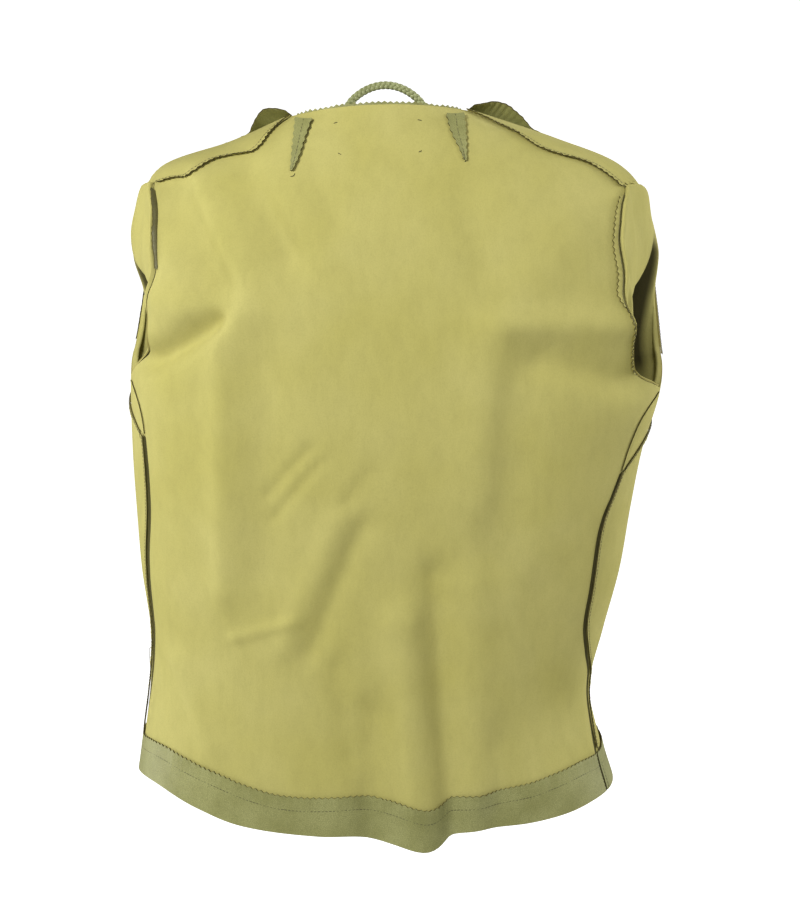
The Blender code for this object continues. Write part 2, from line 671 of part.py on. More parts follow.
def make_hanging_loop():
    """A plait that rises from behind the neckline in a low arch."""
    inside = ON_PANEL + TRIM_WALL / 2 + 1.5 * LAY_GAP + LOOP_RADIUS
    feet = []
    for x in (LOOP_LEFT, LOOP_RIGHT):
        angle, _ = place_on_back(x, body_point(0.0, 1.0)[2] - 0.006)
        feet.append(body_point(angle, 1.0) - body_normal(angle, 1.0) * inside)
    left, right = feet
    tail = np.array([0.0, 0.0, LOOP_TAIL])
    route = [left - tail]
    for part in spaced(0.0, 1.0, 17):
        rise = LOOP_RISE * math.sin(math.pi * part) ** 0.6
        route.append(left + (right - left) * part + np.array([0.0, 0.0, rise]))
    route.append(right - tail)
    curve = bpy.data.curves.new("hanging_loop", "CURVE")
    curve.dimensions = "3D"
    curve.bevel_depth = LOOP_RADIUS
    curve.bevel_resolution = 2
    curve.use_fill_caps = True
    curve.render_resolution_u = 0
    spline = curve.splines.new("POLY")
    spline.points.add(len(route) - 1)
    for point, place in zip(spline.points, route):
        point.co = (*place, 1.0)
    made = bpy.data.objects.new("hanging_loop", curve)
    made.data.materials.append(material("loop"))
    bpy.context.scene.collection.objects.link(made)


def main():
    for leftover in list(bpy.data.objects):
        bpy.data.objects.remove(leftover, do_unlink=True)
    grids = make_panels()
    make_hem_facings(grids)
    make_front_facings(grids)
    make_side_allowances(grids)
    make_underarm_allowances(grids)
    make_front_seam_allowances(grids)
    make_shoulder_allowances(grids)
    make_armhole_allowances(grids)
    make_sleeves()
    make_darts()
    make_neck_allowance(grids)
    make_hanging_loop()


main()
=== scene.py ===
import math

import bpy
import numpy as np
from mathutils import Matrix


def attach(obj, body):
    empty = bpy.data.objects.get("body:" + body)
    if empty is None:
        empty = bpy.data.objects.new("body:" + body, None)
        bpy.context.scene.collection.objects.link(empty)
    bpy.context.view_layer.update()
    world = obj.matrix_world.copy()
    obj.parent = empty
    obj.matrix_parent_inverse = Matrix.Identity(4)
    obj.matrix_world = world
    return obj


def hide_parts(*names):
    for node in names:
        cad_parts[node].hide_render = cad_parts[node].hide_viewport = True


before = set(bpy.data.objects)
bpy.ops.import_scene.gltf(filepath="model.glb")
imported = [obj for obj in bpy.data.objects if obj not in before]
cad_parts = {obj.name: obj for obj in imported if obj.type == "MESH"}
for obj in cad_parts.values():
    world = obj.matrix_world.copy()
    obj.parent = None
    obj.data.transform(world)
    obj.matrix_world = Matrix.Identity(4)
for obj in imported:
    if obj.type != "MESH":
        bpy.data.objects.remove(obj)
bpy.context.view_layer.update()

# The jacket is inside out: the napped flesh side of the leather shows on the panels and on most pinked seam
# allowances, the grain side on the facings, the darts, the neck allowance and the standing left armhole
# allowances.
# Metres. +Z is up, the back faces -Y, the wearer's right is +X.

leather = {"wall": 0.0012, "trimWall": 0.0011, "air": 0.0005, "tooth": 0.005, "toothDepth": 0.0017}
leather["onPanel"] = leather["wall"] / 2 + leather["air"] + leather["trimWall"] / 2
onTrim = leather["onPanel"] + leather["trimWall"] / 2 + 0.0001
sides = {"left": -1, "right": 1}
mesh = {"rowShare": 0.0046, "backColumns": 150, "frontColumns": 90, "calmRows": 16, "calmWidth": 0.16,
        "seamShare": 0.0005}

# Heights and half sizes of the worn body, from the hem up
levels = (
    # share, zBack, zSide, zFront, left, right, back, front, squareness
    (0.00, -0.582, -0.571, -0.574, 0.211, 0.203, 0.125, 0.128, 2.4),
    (0.07, -0.543, -0.536, -0.538, 0.206, 0.192, 0.124, 0.122, 2.4),
    (0.17, -0.486, -0.484, -0.484, 0.200, 0.182, 0.121, 0.112, 2.4),
    (0.27, -0.430, -0.430, -0.430, 0.199, 0.193, 0.120, 0.112, 2.5),
    (0.37, -0.376, -0.376, -0.376, 0.205, 0.206, 0.121, 0.118, 2.6),
    (0.47, -0.323, -0.322, -0.322, 0.208, 0.214, 0.122, 0.127, 2.7),
    (0.56, -0.274, -0.270, -0.270, 0.210, 0.223, 0.122, 0.131, 2.8),
    (0.65, -0.222, -0.212, -0.214, 0.210, 0.238, 0.120, 0.126, 2.9),
    (0.76, -0.150, -0.135, -0.140, 0.206, 0.236, 0.113, 0.110, 3.1),
    (0.85, -0.090, -0.070, -0.080, 0.200, 0.225, 0.102, 0.092, 3.1),
    (0.90, -0.058, -0.036, -0.045, 0.183, 0.203, 0.093, 0.080, 2.8),
    (0.95, -0.020, -0.014, -0.020, 0.125, 0.148, 0.078, 0.070, 2.5),
    (1.00, 0.019, 0.008, -0.002, 0.078, 0.078, 0.058, 0.066, 2.2),
)

# How much higher the neckline lies on the right than in the middle
neckTilt = 0.0025

# How far the hem edge lies above its level, by degrees round the body
hemRise = (
    (-180, 0.000), (-110, 0.002), (-85, 0.012), (-62, 0.018), (-43, 0.010), (-30, 0.003),
    (-10, 0.000), (-4, 0.000), (2, -0.006), (7, -0.011), (10, -0.009), (14, -0.001),
    (28, 0.002), (49, 0.002), (62, 0.003), (90, 0.001), (180, 0.000),
)

# Creases placed one by one: ridges stand out, troughs go in
creases = {
    "back": (
        # xFrom, zFrom, xTo, zTo, halfWidth, height
        (-0.188, -0.186, -0.138, -0.153, 0.0110, -0.0155),
        (-0.178, -0.136, -0.112, -0.142, 0.0150, 0.0050),
        (-0.170, -0.048, -0.134, -0.122, 0.0170, -0.0115),
        (-0.142, -0.056, -0.108, -0.112, 0.0200, 0.0022),
        (-0.112, -0.038, -0.078, -0.094, 0.0150, -0.0095),
        (-0.052, -0.036, -0.038, -0.066, 0.0100, -0.0026),
        (0.074, -0.060, 0.086, -0.100, 0.0170, -0.0040),
        (0.150, -0.080, 0.128, -0.112, 0.0200, 0.0045),
        (0.100, -0.150, 0.199, -0.156, 0.0135, 0.0080),
        (0.140, -0.184, 0.205, -0.202, 0.0150, -0.0080),
        (0.088, -0.172, 0.080, -0.290, 0.0180, 0.0040),
        (0.116, -0.205, 0.104, -0.330, 0.0240, -0.0050),
        (-0.124, -0.168, -0.124, -0.370, 0.0150, 0.0062),
        (-0.098, -0.190, -0.096, -0.350, 0.0190, -0.0058),
        (-0.015, -0.320, -0.056, -0.420, 0.0095, -0.0042),
        (-0.034, -0.316, -0.076, -0.416, 0.0120, 0.0034),
        (-0.093, -0.290, -0.058, -0.254, 0.0056, -0.0022),
        (-0.088, -0.310, -0.048, -0.264, 0.0050, -0.0018),
        (-0.026, -0.296, -0.004, -0.266, 0.0050, -0.0018),
        (-0.118, -0.414, -0.070, -0.397, 0.0055, 0.0019),
        (-0.167, -0.445, -0.142, -0.508, 0.0090, 0.0038),
        (-0.035, -0.440, -0.026, -0.512, 0.0100, -0.0034),
        (0.018, -0.400, 0.035, -0.610, 0.0150, 0.0075),
        (0.048, -0.360, 0.066, -0.600, 0.0130, -0.0060),
        (0.077, -0.370, 0.086, -0.540, 0.0150, 0.0046),
        (-0.004, -0.480, -0.009, -0.610, 0.0160, -0.0066),
        (0.100, -0.510, 0.100, -0.610, 0.0170, -0.0054),
        (0.135, -0.380, 0.140, -0.520, 0.0190, -0.0046),
    ),
    "front": (
        (-0.110, -0.200, -0.115, -0.420, 0.0260, 0.0040),
        (-0.150, -0.200, -0.088, -0.232, 0.0140, -0.0038),
        (-0.060, -0.300, -0.050, -0.560, 0.0260, -0.0040),
        (-0.120, -0.420, -0.090, -0.540, 0.0150, 0.0026),
        (0.100, -0.180, 0.120, -0.440, 0.0270, 0.0040),
        (0.150, -0.210, 0.090, -0.260, 0.0160, -0.0040),
        (0.125, -0.250, 0.080, -0.290, 0.0110, -0.0020),
        (0.060, -0.330, 0.050, -0.570, 0.0260, -0.0040),
    ),
}

# Seams by height share and degrees
sideSeam = {
    "right": ((0.00, 72.0), (0.08, 73.0), (0.14, 76.0), (0.20, 73.0), (0.25, 63.0),
              (0.30, 56.5), (0.36, 54.3), (0.44, 53.3), (0.48, 54.3), (0.51, 57.0),
              (0.55, 60.0), (0.585, 61.0), (0.614, 63.0), (0.63, 68.0), (0.645, 78.0)),
    "left": ((0.00, -85.0), (0.10, -84.0), (0.15, -80.0), (0.20, -76.0), (0.25, -73.0),
             (0.30, -70.5), (0.36, -68.0), (0.41, -66.0), (0.48, -62.0), (0.54, -61.0),
             (0.59, -62.0), (0.62, -64.0), (0.645, -70.0), (0.66, -80.0)),
}
armholeBack = {
    "right": ((0.645, 78.0), (0.665, 63.0), (0.688, 56.0), (0.723, 52.0), (0.743, 50.0),
              (0.772, 49.5), (0.797, 50.5), (0.831, 50.5), (0.849, 52.7), (0.870, 58.0),
              (0.886, 67.0)),
    "left": ((0.66, -80.0), (0.68, -72.0), (0.70, -65.0), (0.72, -61.0), (0.765, -57.0),
             (0.797, -55.0), (0.814, -56.0), (0.841, -58.7), (0.866, -64.4), (0.886, -76.0)),
}
armholeFront = {
    "right": ((0.645, 78.0), (0.66, 86.0), (0.69, 93.0), (0.73, 97.0), (0.77, 99.0),
              (0.81, 100.0), (0.84, 98.0), (0.86, 93.0), (0.873, 86.0), (0.882, 77.0),
              (0.886, 67.0)),
    "left": ((0.66, -80.0), (0.675, -88.0), (0.70, -96.0), (0.74, -102.0), (0.78, -105.0),
             (0.82, -105.0), (0.85, -101.0), (0.868, -94.0), (0.879, -86.0), (0.886, -76.0)),
}
shoulderSeam = {
    "right": ((0.886, 67.0), (0.902, 66.5), (0.914, 66.5), (0.925, 65.0), (0.937, 60.0),
              (0.945, 58.0), (0.953, 59.0), (0.968, 62.5), (0.984, 64.5), (1.0, 66.0)),
    "left": ((0.886, -76.0), (0.895, -71.0), (0.904, -63.0), (0.916, -60.5), (0.930, -63.0),
             (0.938, -60.0), (0.945, -53.0), (0.955, -53.0), (0.970, -59.0), (0.985, -65.0),
             (1.0, -69.0)),
}
frontEdge = ((0.0, 177.3), (0.45, 177.0), (0.58, 174.0), (0.68, 166.0), (0.78, 155.0),
             (0.88, 142.0), (0.95, 128.0), (1.0, 112.0))

# The curved seam across each front, by degrees and height share
frontSeam = {
    "right": ((52.0, 0.510), (59.2, 0.540), (75, 0.582), (92, 0.602), (115, 0.622),
              (145, 0.630), (180, 0.600)),
    "left": ((52.0, 0.575), (62.0, 0.590), (75, 0.615), (92, 0.632), (115, 0.640),
             (145, 0.638), (180, 0.605)),
}
frontSeamStart = {"right": 0.54, "left": 0.59}
tipShare = 0.886
seamDegrees = 0.10
stops = (0.0, 0.54, 0.59, 0.645, 0.66, tipShare, 1.0)


# A smooth curve through rows whose first column is the position, at many positions
def throughRows(rows, position):
    table = np.asarray(rows, dtype=float)
    position = np.clip(position, table[0, 0], table[-1, 0])
    k = np.clip(np.searchsorted(table[:, 0], position, side="right") - 1, 0, len(table) - 2)
    low, high = table[k], table[k + 1]
    before, after = table[np.maximum(k - 1, 0)], table[np.minimum(k + 2, len(table) - 1)]
    span = (high[..., :1] - low[..., :1])
    s = (position[..., None] - low[..., :1]) / span
    slopeLow = (high - before) / (high[..., :1] - before[..., :1]) * span
    slopeHigh = (after - low) / (after[..., :1] - low[..., :1]) * span
    return ((2 * s**3 - 3 * s**2 + 1) * low + (s**3 - 2 * s**2 + s) * slopeLow
            + (3 * s**2 - 2 * s**3) * high + (s**3 - s**2) * slopeHigh)


# Sum of the soft creases of one face at places seen square on
def creaseHeight(face, x, z):
    total = np.zeros(np.shape(x))
    for xa, za, xb, zb, halfWidth, height in creases[face]:
        ux, uz = xb - xa, zb - za
        length = math.hypot(ux, uz)
        along = ((x - xa) * ux + (z - za) * uz) / length**2
        across = ((x - xa) * uz - (z - za) * ux) / length
        beyond = np.maximum(0.0, np.maximum(-along, along - 1.0)) * length
        total += height * np.exp(-(across / halfWidth) ** 2 - (beyond / (1.4 * halfWidth)) ** 2)
    return total


# The middle of the body's wall at angles and height shares
def bodyPoint(degrees, share):
    degrees, share = np.broadcast_arrays(np.asarray(degrees, float), np.asarray(share, float))
    row = throughRows(levels, share)
    turn = np.radians(degrees)
    s, c = np.sin(turn), np.cos(turn)
    wide = np.where(s > 0, row[..., 5], row[..., 4])
    deep = np.where(c > 0, row[..., 6], row[..., 7])
    zEnd = np.where(c > 0, row[..., 1], row[..., 3])
    power = 2.0 / row[..., 8]
    x = wide * np.sign(s) * np.abs(s) ** power
    y = -deep * np.sign(c) * np.abs(c) ** power
    z = row[..., 2] + (zEnd - row[..., 2]) * c * c
    z = z + neckTilt * s * np.maximum(0.0, (share - 0.9) / 0.1)
    z = z + throughRows(hemRise, degrees)[..., 1] * np.maximum(0.0, 1.0 - share / 0.3)
    swell = np.where(c > 0, creaseHeight("back", x, z), creaseHeight("front", x, z))
    swell = swell * np.minimum(1.0, np.abs(c) * 2.5)
    reach = np.hypot(x, y)
    return np.stack([x + swell * x / reach, y + swell * y / reach, z], axis=-1)


# The outward direction of the body's wall
def bodyNormal(degrees, share):
    around = bodyPoint(degrees + 0.5, share) - bodyPoint(degrees - 0.5, share)
    upward = (bodyPoint(degrees, np.minimum(share + 0.005, 1.0))
              - bodyPoint(degrees, np.maximum(share - 0.005, 0.0)))
    return unit(np.cross(around, upward))


def unit(vectors):
    return vectors / np.maximum(np.linalg.norm(vectors, axis=-1, keepdims=True), 1e-12)


# The angle of a panel's outer edge: side seam, armhole, then shoulder seam
def edgeAngle(side, share, face):
    armhole = (armholeBack if face == "back" else armholeFront)[side]
    share = np.asarray(share, float)
    below = throughRows(sideSeam[side], share)[..., 1]
    middle = throughRows(armhole, share)[..., 1]
    above = throughRows(shoulderSeam[side], share)[..., 1]
    return np.where(share <= armhole[0][0], below,
                    np.where(share <= armhole[-1][0], middle, above))


# Height shares from low to high with a row on each stop between them
def ladder(low, high, step=mesh["rowShare"]):
    marks = [low] + [stop for stop in stops if low < stop < high] + [high]
    shares = [low]
    for a, b in zip(marks, marks[1:]):
        count = max(2, round((b - a) / step))
        shares += [a + (b - a) * i / count for i in range(1, count + 1)]
    return np.array(shares)


def bodyGrid(degrees, share):
    return bodyPoint(degrees, share), bodyNormal(degrees, share)


# A column of values evened out over the rows near each
def calm(column, reach=mesh["calmRows"]):
    padded = np.pad(column[:, 0], reach, mode="edge")
    return np.convolve(padded, np.full(2 * reach + 1, 1 / (2 * reach + 1)), mode="valid")[:, None]


def backGrid():
    shares = ladder(0.0, 1.0)[:, None]
    across = np.linspace(0.0, 1.0, mesh["backColumns"])[None, :]
    left = edgeAngle("left", shares, "back") + seamDegrees
    right = edgeAngle("right", shares, "back") - seamDegrees
    calmLeft, calmRight = calm(left), calm(right)
    angle = calmLeft + (calmRight - calmLeft) * across
    angle += (left - calmLeft) * np.clip(1 - across / mesh["calmWidth"], 0, 1) ** 2
    angle += (right - calmRight) * np.clip(1 - (1 - across) / mesh["calmWidth"], 0, 1) ** 2
    return (*bodyGrid(angle, shares + 0 * across), shares[:, 0])


# Across is 0 at the side of the body and 1 at the front edge
def frontAngle(side, across, share):
    start = edgeAngle(side, share, "front") + sides[side] * seamDegrees
    return start + (sides[side] * throughRows(frontEdge, share)[..., 1] - start) * across


def frontGrid(side, part):
    start = frontSeamStart[side]
    across = np.linspace(0.0, 1.0, mesh["frontColumns"])
    seam = np.full(across.shape, start)
    for _ in range(14):
        seam = throughRows(frontSeam[side], np.abs(frontAngle(side, across, seam)))[..., 1]
        seam[0] = start
    if part == "lower":
        shares = ladder(0.0, start)
        share = shares[:, None] / start * (seam[None, :] - mesh["seamShare"])
    else:
        shares = ladder(start, 1.0)
        low = seam[None, :] + mesh["seamShare"]
        share = low + (shares[:, None] - start) / (1.0 - start) * (1.0 - low)
    return (*bodyGrid(frontAngle(side, across[None, :], share), share), shares)


# Linear colour from an sRGB hex code
def hexColour(code):
    parts = [int(code[i:i + 2], 16) / 255 for i in (0, 2, 4)]
    return tuple(p / 12.92 if p <= 0.04045 else ((p + 0.055) / 1.055) ** 2.4 for p in parts) + (1.0,)


# A node with its settings, and its inputs set to values or linked from sockets
def addNode(tree, kind, settings=None, inputs=None):
    node = tree.nodes.new(kind)
    for key, value in (settings or {}).items():
        setattr(node, key, value)
    for key, value in (inputs or {}).items():
        if isinstance(value, bpy.types.NodeSocket):
            tree.links.new(value, node.inputs[key])
        else:
            node.inputs[key].default_value = value
    return node


# Noise for each layer of a surface: size of its lumps in millimetres, detail, roughness, stretch up
def surfaceLayers(tree, place, layers):
    made = {}
    for name, (size, detail, roughness, stretch) in layers.items():
        placed = addNode(tree, "ShaderNodeMapping", {}, {"Vector": place, "Scale": (1.0, 1.0, stretch)})
        made[name] = addNode(tree, "ShaderNodeTexNoise", {"noise_dimensions": "3D"}, {
            "Vector": placed.outputs["Vector"], "Scale": 1000.0 / size,
            "Detail": detail, "Roughness": roughness}).outputs["Fac"]
    return made


def newMaterial(name):
    made = bpy.data.materials.new(name)
    made.use_nodes = True
    tree = made.node_tree
    place = addNode(tree, "ShaderNodeTexCoord").outputs["Object"]
    return made, tree, tree.nodes["Principled BSDF"], place


# Lays tints over the base colour and reliefs over each other, and sets how the surface shines
def finishSurface(tree, shader, base, tints, reliefs, shine):
    colour = hexColour(base)
    for layer, start, end, least, most, tint in tints:
        share = addNode(tree, "ShaderNodeMapRange", {}, {
            "Value": layer, "From Min": start, "From Max": end, "To Min": least, "To Max": most})
        colour = addNode(tree, "ShaderNodeMix", {"data_type": "RGBA"}, {
            0: share.outputs["Result"], 6: colour, 7: hexColour(tint)}).outputs[2]
    tree.links.new(colour, shader.inputs["Base Color"])
    for key, value in shine.items():
        shader.inputs[key].default_value = value
    normal = {}
    for height, depth in reliefs:
        relief = addNode(tree, "ShaderNodeBump", {}, {"Distance": depth, "Height": height, **normal})
        normal = {"Normal": relief.outputs["Normal"]}
    tree.links.new(normal["Normal"], shader.inputs["Normal"])


# Painted shadow colour for folds, seams and the hollows inside the armholes
foldShadow = "2c2813"


# Napped split leather: matt, cloudy from brushed nap, with fine short fibres
def suedeFleshSide(name, base, light, dark):
    made, tree, shader, place = newMaterial(name)
    layers = surfaceLayers(tree, place, {
        "clouds": (70, 2.0, 0.5, 1.0), "brushed": (9, 4.0, 0.6, 0.45),
        "nap": (1.1, 3.0, 0.65, 1.0), "fibres": (0.35, 2.0, 0.6, 1.0)})
    paintedShade = addNode(tree, "ShaderNodeAttribute", {"attribute_name": "paintedShade"}).outputs["Fac"]
    tints = (
        # layer, from, to, least, most, tint
        (layers["clouds"], 0.30, 0.70, 0.0, 0.55, light),
        (layers["brushed"], 0.28, 0.60, 0.16, 0.0, dark),
        (layers["nap"], 0.34, 0.56, 0.18, 0.0, dark),
        # painted shade: darkens the suede towards the shadow colour where the mesh attribute marks folds and
        # seams
        (paintedShade, 0.0, 1.0, 0.0, 1.0, foldShadow),
    )
    reliefs = ((layers["brushed"], 0.0003), (layers["nap"], 0.00014), (layers["fibres"], 0.00007))
    finishSurface(tree, shader, base, tints, reliefs, {
        "Roughness": 0.92, "Specular IOR Level": 0.18, "Sheen Weight": 0.12,
        "Sheen Roughness": 0.55, "Sheen Tint": hexColour(light)})
    return made


# Tanned grain side: closed surface with pores 1.2 mm apart and a dull sheen
def leatherGrainSide(name, base, light, dark, gloss=0.52):
    made, tree, shader, place = newMaterial(name)
    layers = surfaceLayers(tree, place, {"clouds": (32, 3.0, 0.55, 1.0), "fine": (0.8, 3.0, 0.6, 1.0)})
    pores = addNode(tree, "ShaderNodeTexVoronoi", {"feature": "DISTANCE_TO_EDGE"},
                    {"Vector": place, "Scale": 1000.0 / 1.2}).outputs["Distance"]
    tints = ((layers["clouds"], 0.38, 0.64, 0.0, 1.0, light), (pores, 0.0, 0.22, 0.55, 0.0, dark))
    finishSurface(tree, shader, base, tints, ((pores, 0.00012), (layers["fine"], 0.00010)),
                  {"Roughness": gloss, "Specular IOR Level": 0.35})
    return made


# Spun polyester thread: faint sheen, fine twist
def spunThread(name, base, dark):
    made, tree, shader, place = newMaterial(name)
    twist = surfaceLayers(tree, place, {"twist": (0.3, 2.0, 0.5, 1.0)})["twist"]
    finishSurface(tree, shader, base, ((twist, 0.0, 1.0, 0.0, 1.0, dark),), ((twist, 0.00008),),
                  {"Roughness": 0.6})
    return made


finishes = {
    "flesh": suedeFleshSide("suede flesh side", "ada65e", "b9b270", "88824a"),
    "grain": leatherGrainSide("leather grain side", "8a8a52", "9a9a62", "666639"),
    # painted shade: a darker copy of the grain side, for the inner faces of the panels and sleeves and the
    # standing armhole allowances, which lie in shade
    "fold": leatherGrainSide("grain side darkened as painted shade", "5e5a36", "6c6842", "3c3920"),
    "cut": suedeFleshSide("cut leather edge", "a69c58", "b8ae6c", "82793f"),
    # painted shade: dark rims stand in for the shadow under the lifted pinked edges
    "edge": suedeFleshSide("shaded pinked edge", "4d4726", "5d5730", "2f2b15"),
    "plait": leatherGrainSide("plaited grain leather", "8b9060", "a0a573", "5c6038", 0.45),
    "thread": spunThread("sewing thread", "564f2a", "3f3f27"),
}


# A mesh object at the origin
def objectFrom(name, vertices, faces, materials, smooth=True):
    data = bpy.data.meshes.new(name)
    data.from_pydata([tuple(v) for v in vertices], [], [tuple(f) for f in faces])
    for material in materials:
        data.materials.append(material)
    if smooth:
        data.shade_smooth()
        data.set_sharp_from_angle(angle=math.radians(42))
    made = bpy.data.objects.new(name, data)
    bpy.context.scene.collection.objects.link(made)
    return made


# The four corners of each cell of a grid
def quadsOf(grid):
    return np.stack([grid[:-1, :-1], grid[:-1, 1:], grid[1:, 1:], grid[1:, :-1]], axis=2)


# A thin wall of leather with cut edges round a grid of points
def shell(name, points, normals, thickness, finish, ring=False, node=None, rim="cut", inner=None):
    points, normals = np.asarray(points), np.asarray(normals)
    rows, columns = points.shape[:2]
    vertices = np.concatenate([(points + normals * thickness / 2).reshape(-1, 3),
                               (points - normals * thickness / 2).reshape(-1, 3)])
    index = np.arange(rows * columns).reshape(rows, columns)
    if ring:
        index = np.concatenate([index, index[:, :1]], axis=1)
    outer = quadsOf(index).reshape(-1, 4)
    i, j = rows // 2, columns // 2
    beside = points[i, (j + 1) % columns] - points[i, j]
    above = points[min(i + 1, rows - 1), j] - points[i, j]
    if np.dot(np.cross(beside, above), normals[i, j]) < 0:
        outer = outer[:, ::-1]
    under = rows * columns
    used = {tuple(edge) for f in outer for edge in zip(f, np.roll(f, -1))}
    edgeFaces = []
    for line in [index[0], index[-1]] + ([] if ring else [index[:, 0], index[:, -1]]):
        for p, q in zip(line[:-1], line[1:]):
            p, q = (q, p) if (p, q) in used else (p, q)
            edgeFaces.append([p, q, q + under, p + under])
    faces = np.concatenate([outer, outer[:, ::-1] + under, edgeFaces])
    made = objectFrom(name, vertices, faces.tolist(), [finishes[key] for key in (finish, rim, inner) if key])
    slotOf = np.repeat([0, 2 if inner else 0, 1], [len(outer), len(outer), len(edgeFaces)])
    made.data.polygons.foreach_set("material_index", slotOf.astype(np.int32))
    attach(made, "root")
    if node:
        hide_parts(node)
    return made


# Painted shade: how far each place of a shell is darkened towards the fold shadow colour, from 0 to 1, by
# rows and columns, set by how deep in a fold or seam it lies
def setPaintedShade(made, values):
    values = np.asarray(values, dtype=np.float32).ravel()
    made.data.attributes.new("paintedShade", "FLOAT", "POINT").data.foreach_set("value", np.tile(values, 2))


# Points and normals with the first axis along an edge and the second inward from it
def fromEdge(grid, edge):
    points, normals = grid[0], grid[1]
    if edge in ("bottom", "top"):
        points, normals = points.transpose(1, 0, 2), normals.transpose(1, 0, 2)
    if edge in ("last", "top"):
        points, normals = points[:, ::-1], normals[:, ::-1]
    return points, normals


def lineLengths(points):
    return np.concatenate([[0.0], np.cumsum(np.linalg.norm(np.diff(points, axis=0), axis=1))])


# Points and normals at places between the rows of a line or a grid
def betweenRows(points, normals, row):
    i = np.minimum(row.astype(int), len(points) - 2)
    t = (row - i).reshape((-1,) + (1,) * (points.ndim - 1))
    return points[i] * (1 - t) + points[i + 1] * t, unit(normals[i] * (1 - t) + normals[i + 1] * t)


# Lines inward from an edge, step metres apart along it, from low to high of its rows
def acrossAt(grid, edge, low, high, step=leather["tooth"] / 4):
    points, normals = fromEdge(grid, edge)
    lengths = lineLengths(points[:, 0])
    first, last = np.interp([low, high], np.arange(len(points)), lengths)
    places = np.linspace(first, last, max(3, round((last - first) / step) + 1))
    row = np.interp(places, lengths, np.arange(len(points)))
    return (*betweenRows(points, normals, row), places - first)


# The place on one line at a distance from its start, with its normal
def inward(linePoints, lineNormals, distance):
    lengths = lineLengths(linePoints)
    return betweenRows(linePoints, lineNormals, np.interp(distance, lengths, np.arange(len(lengths))))


def rowOf(shares, share):
    return float(np.interp(share, shares, np.arange(len(shares))))


# A slow uneven line between about -1 and 1 along a length
def wander(place, seed, sizes=(0.031, 0.013, 0.0057)):
    total = sum(np.sin(place / size * 2 * math.pi + seed * (k + 1.7) * 2.3) / (k + 1)
                for k, size in enumerate(sizes))
    return total / 1.6


# 0 at the tip of each pinked tooth and 1 at its foot
def saw(place):
    phase = place / leather["tooth"] % 1.0
    return np.abs(2 * phase - 1)


# A band of leather laid on lines inward from a panel's edge. Its far side is pinked
def strip(name, lines, near, far, settings, finish="grain", node=None):
    linePoints, lineNormals, places = lines
    far = np.broadcast_to(far, places.shape)
    extra = np.broadcast_to(settings.get("extraLift", 0.0), places.shape)
    curl = settings["curl"] * (1 + settings.get("uneven", 0.9) * wander(places, settings["seed"]))
    count = settings.get("across", 5)
    points, normals = [], []
    for i in range(len(places)):
        reach = far[i] - leather["toothDepth"] * saw(places[i])
        part = np.linspace(0.0, 1.0, count)
        there, facing = inward(linePoints[i], lineNormals[i], near + (reach - near) * part)
        lift = (leather["onPanel"] + curl[i] * part**2 + extra[i] * part
                + settings.get("nearLift", 0.0) * (1 - part) ** 1.5)
        points.append(there + facing * lift[:, None])
        normals.append(facing)
    return shell(name, points, normals, leather["trimWall"], finish, node=node,
                 rim=settings.get("rim", "edge"))


stitchLines = {}


# Notes down the stitches of a line at a distance from a panel's edge
def stitchesAlong(group, grid, edge, low, high, distance, lift, pitch=0.0031):
    linePoints, lineNormals, places = acrossAt(grid, edge, low, high, pitch)
    far = distance(places / places[-1]) if callable(distance) else np.full(places.shape, distance)
    pairs = [inward(linePoints[i], lineNormals[i], far[i:i + 1]) for i in range(len(places))]
    points = np.array([p[0] for p, _ in pairs])
    facing = np.array([n[0] for _, n in pairs])
    noteStitches(group, points + facing * lift, facing)


def noteStitches(group, points, facing):
    along = unit(np.gradient(points, axis=0))
    stitchLines.setdefault(group, []).append((points, along, facing))


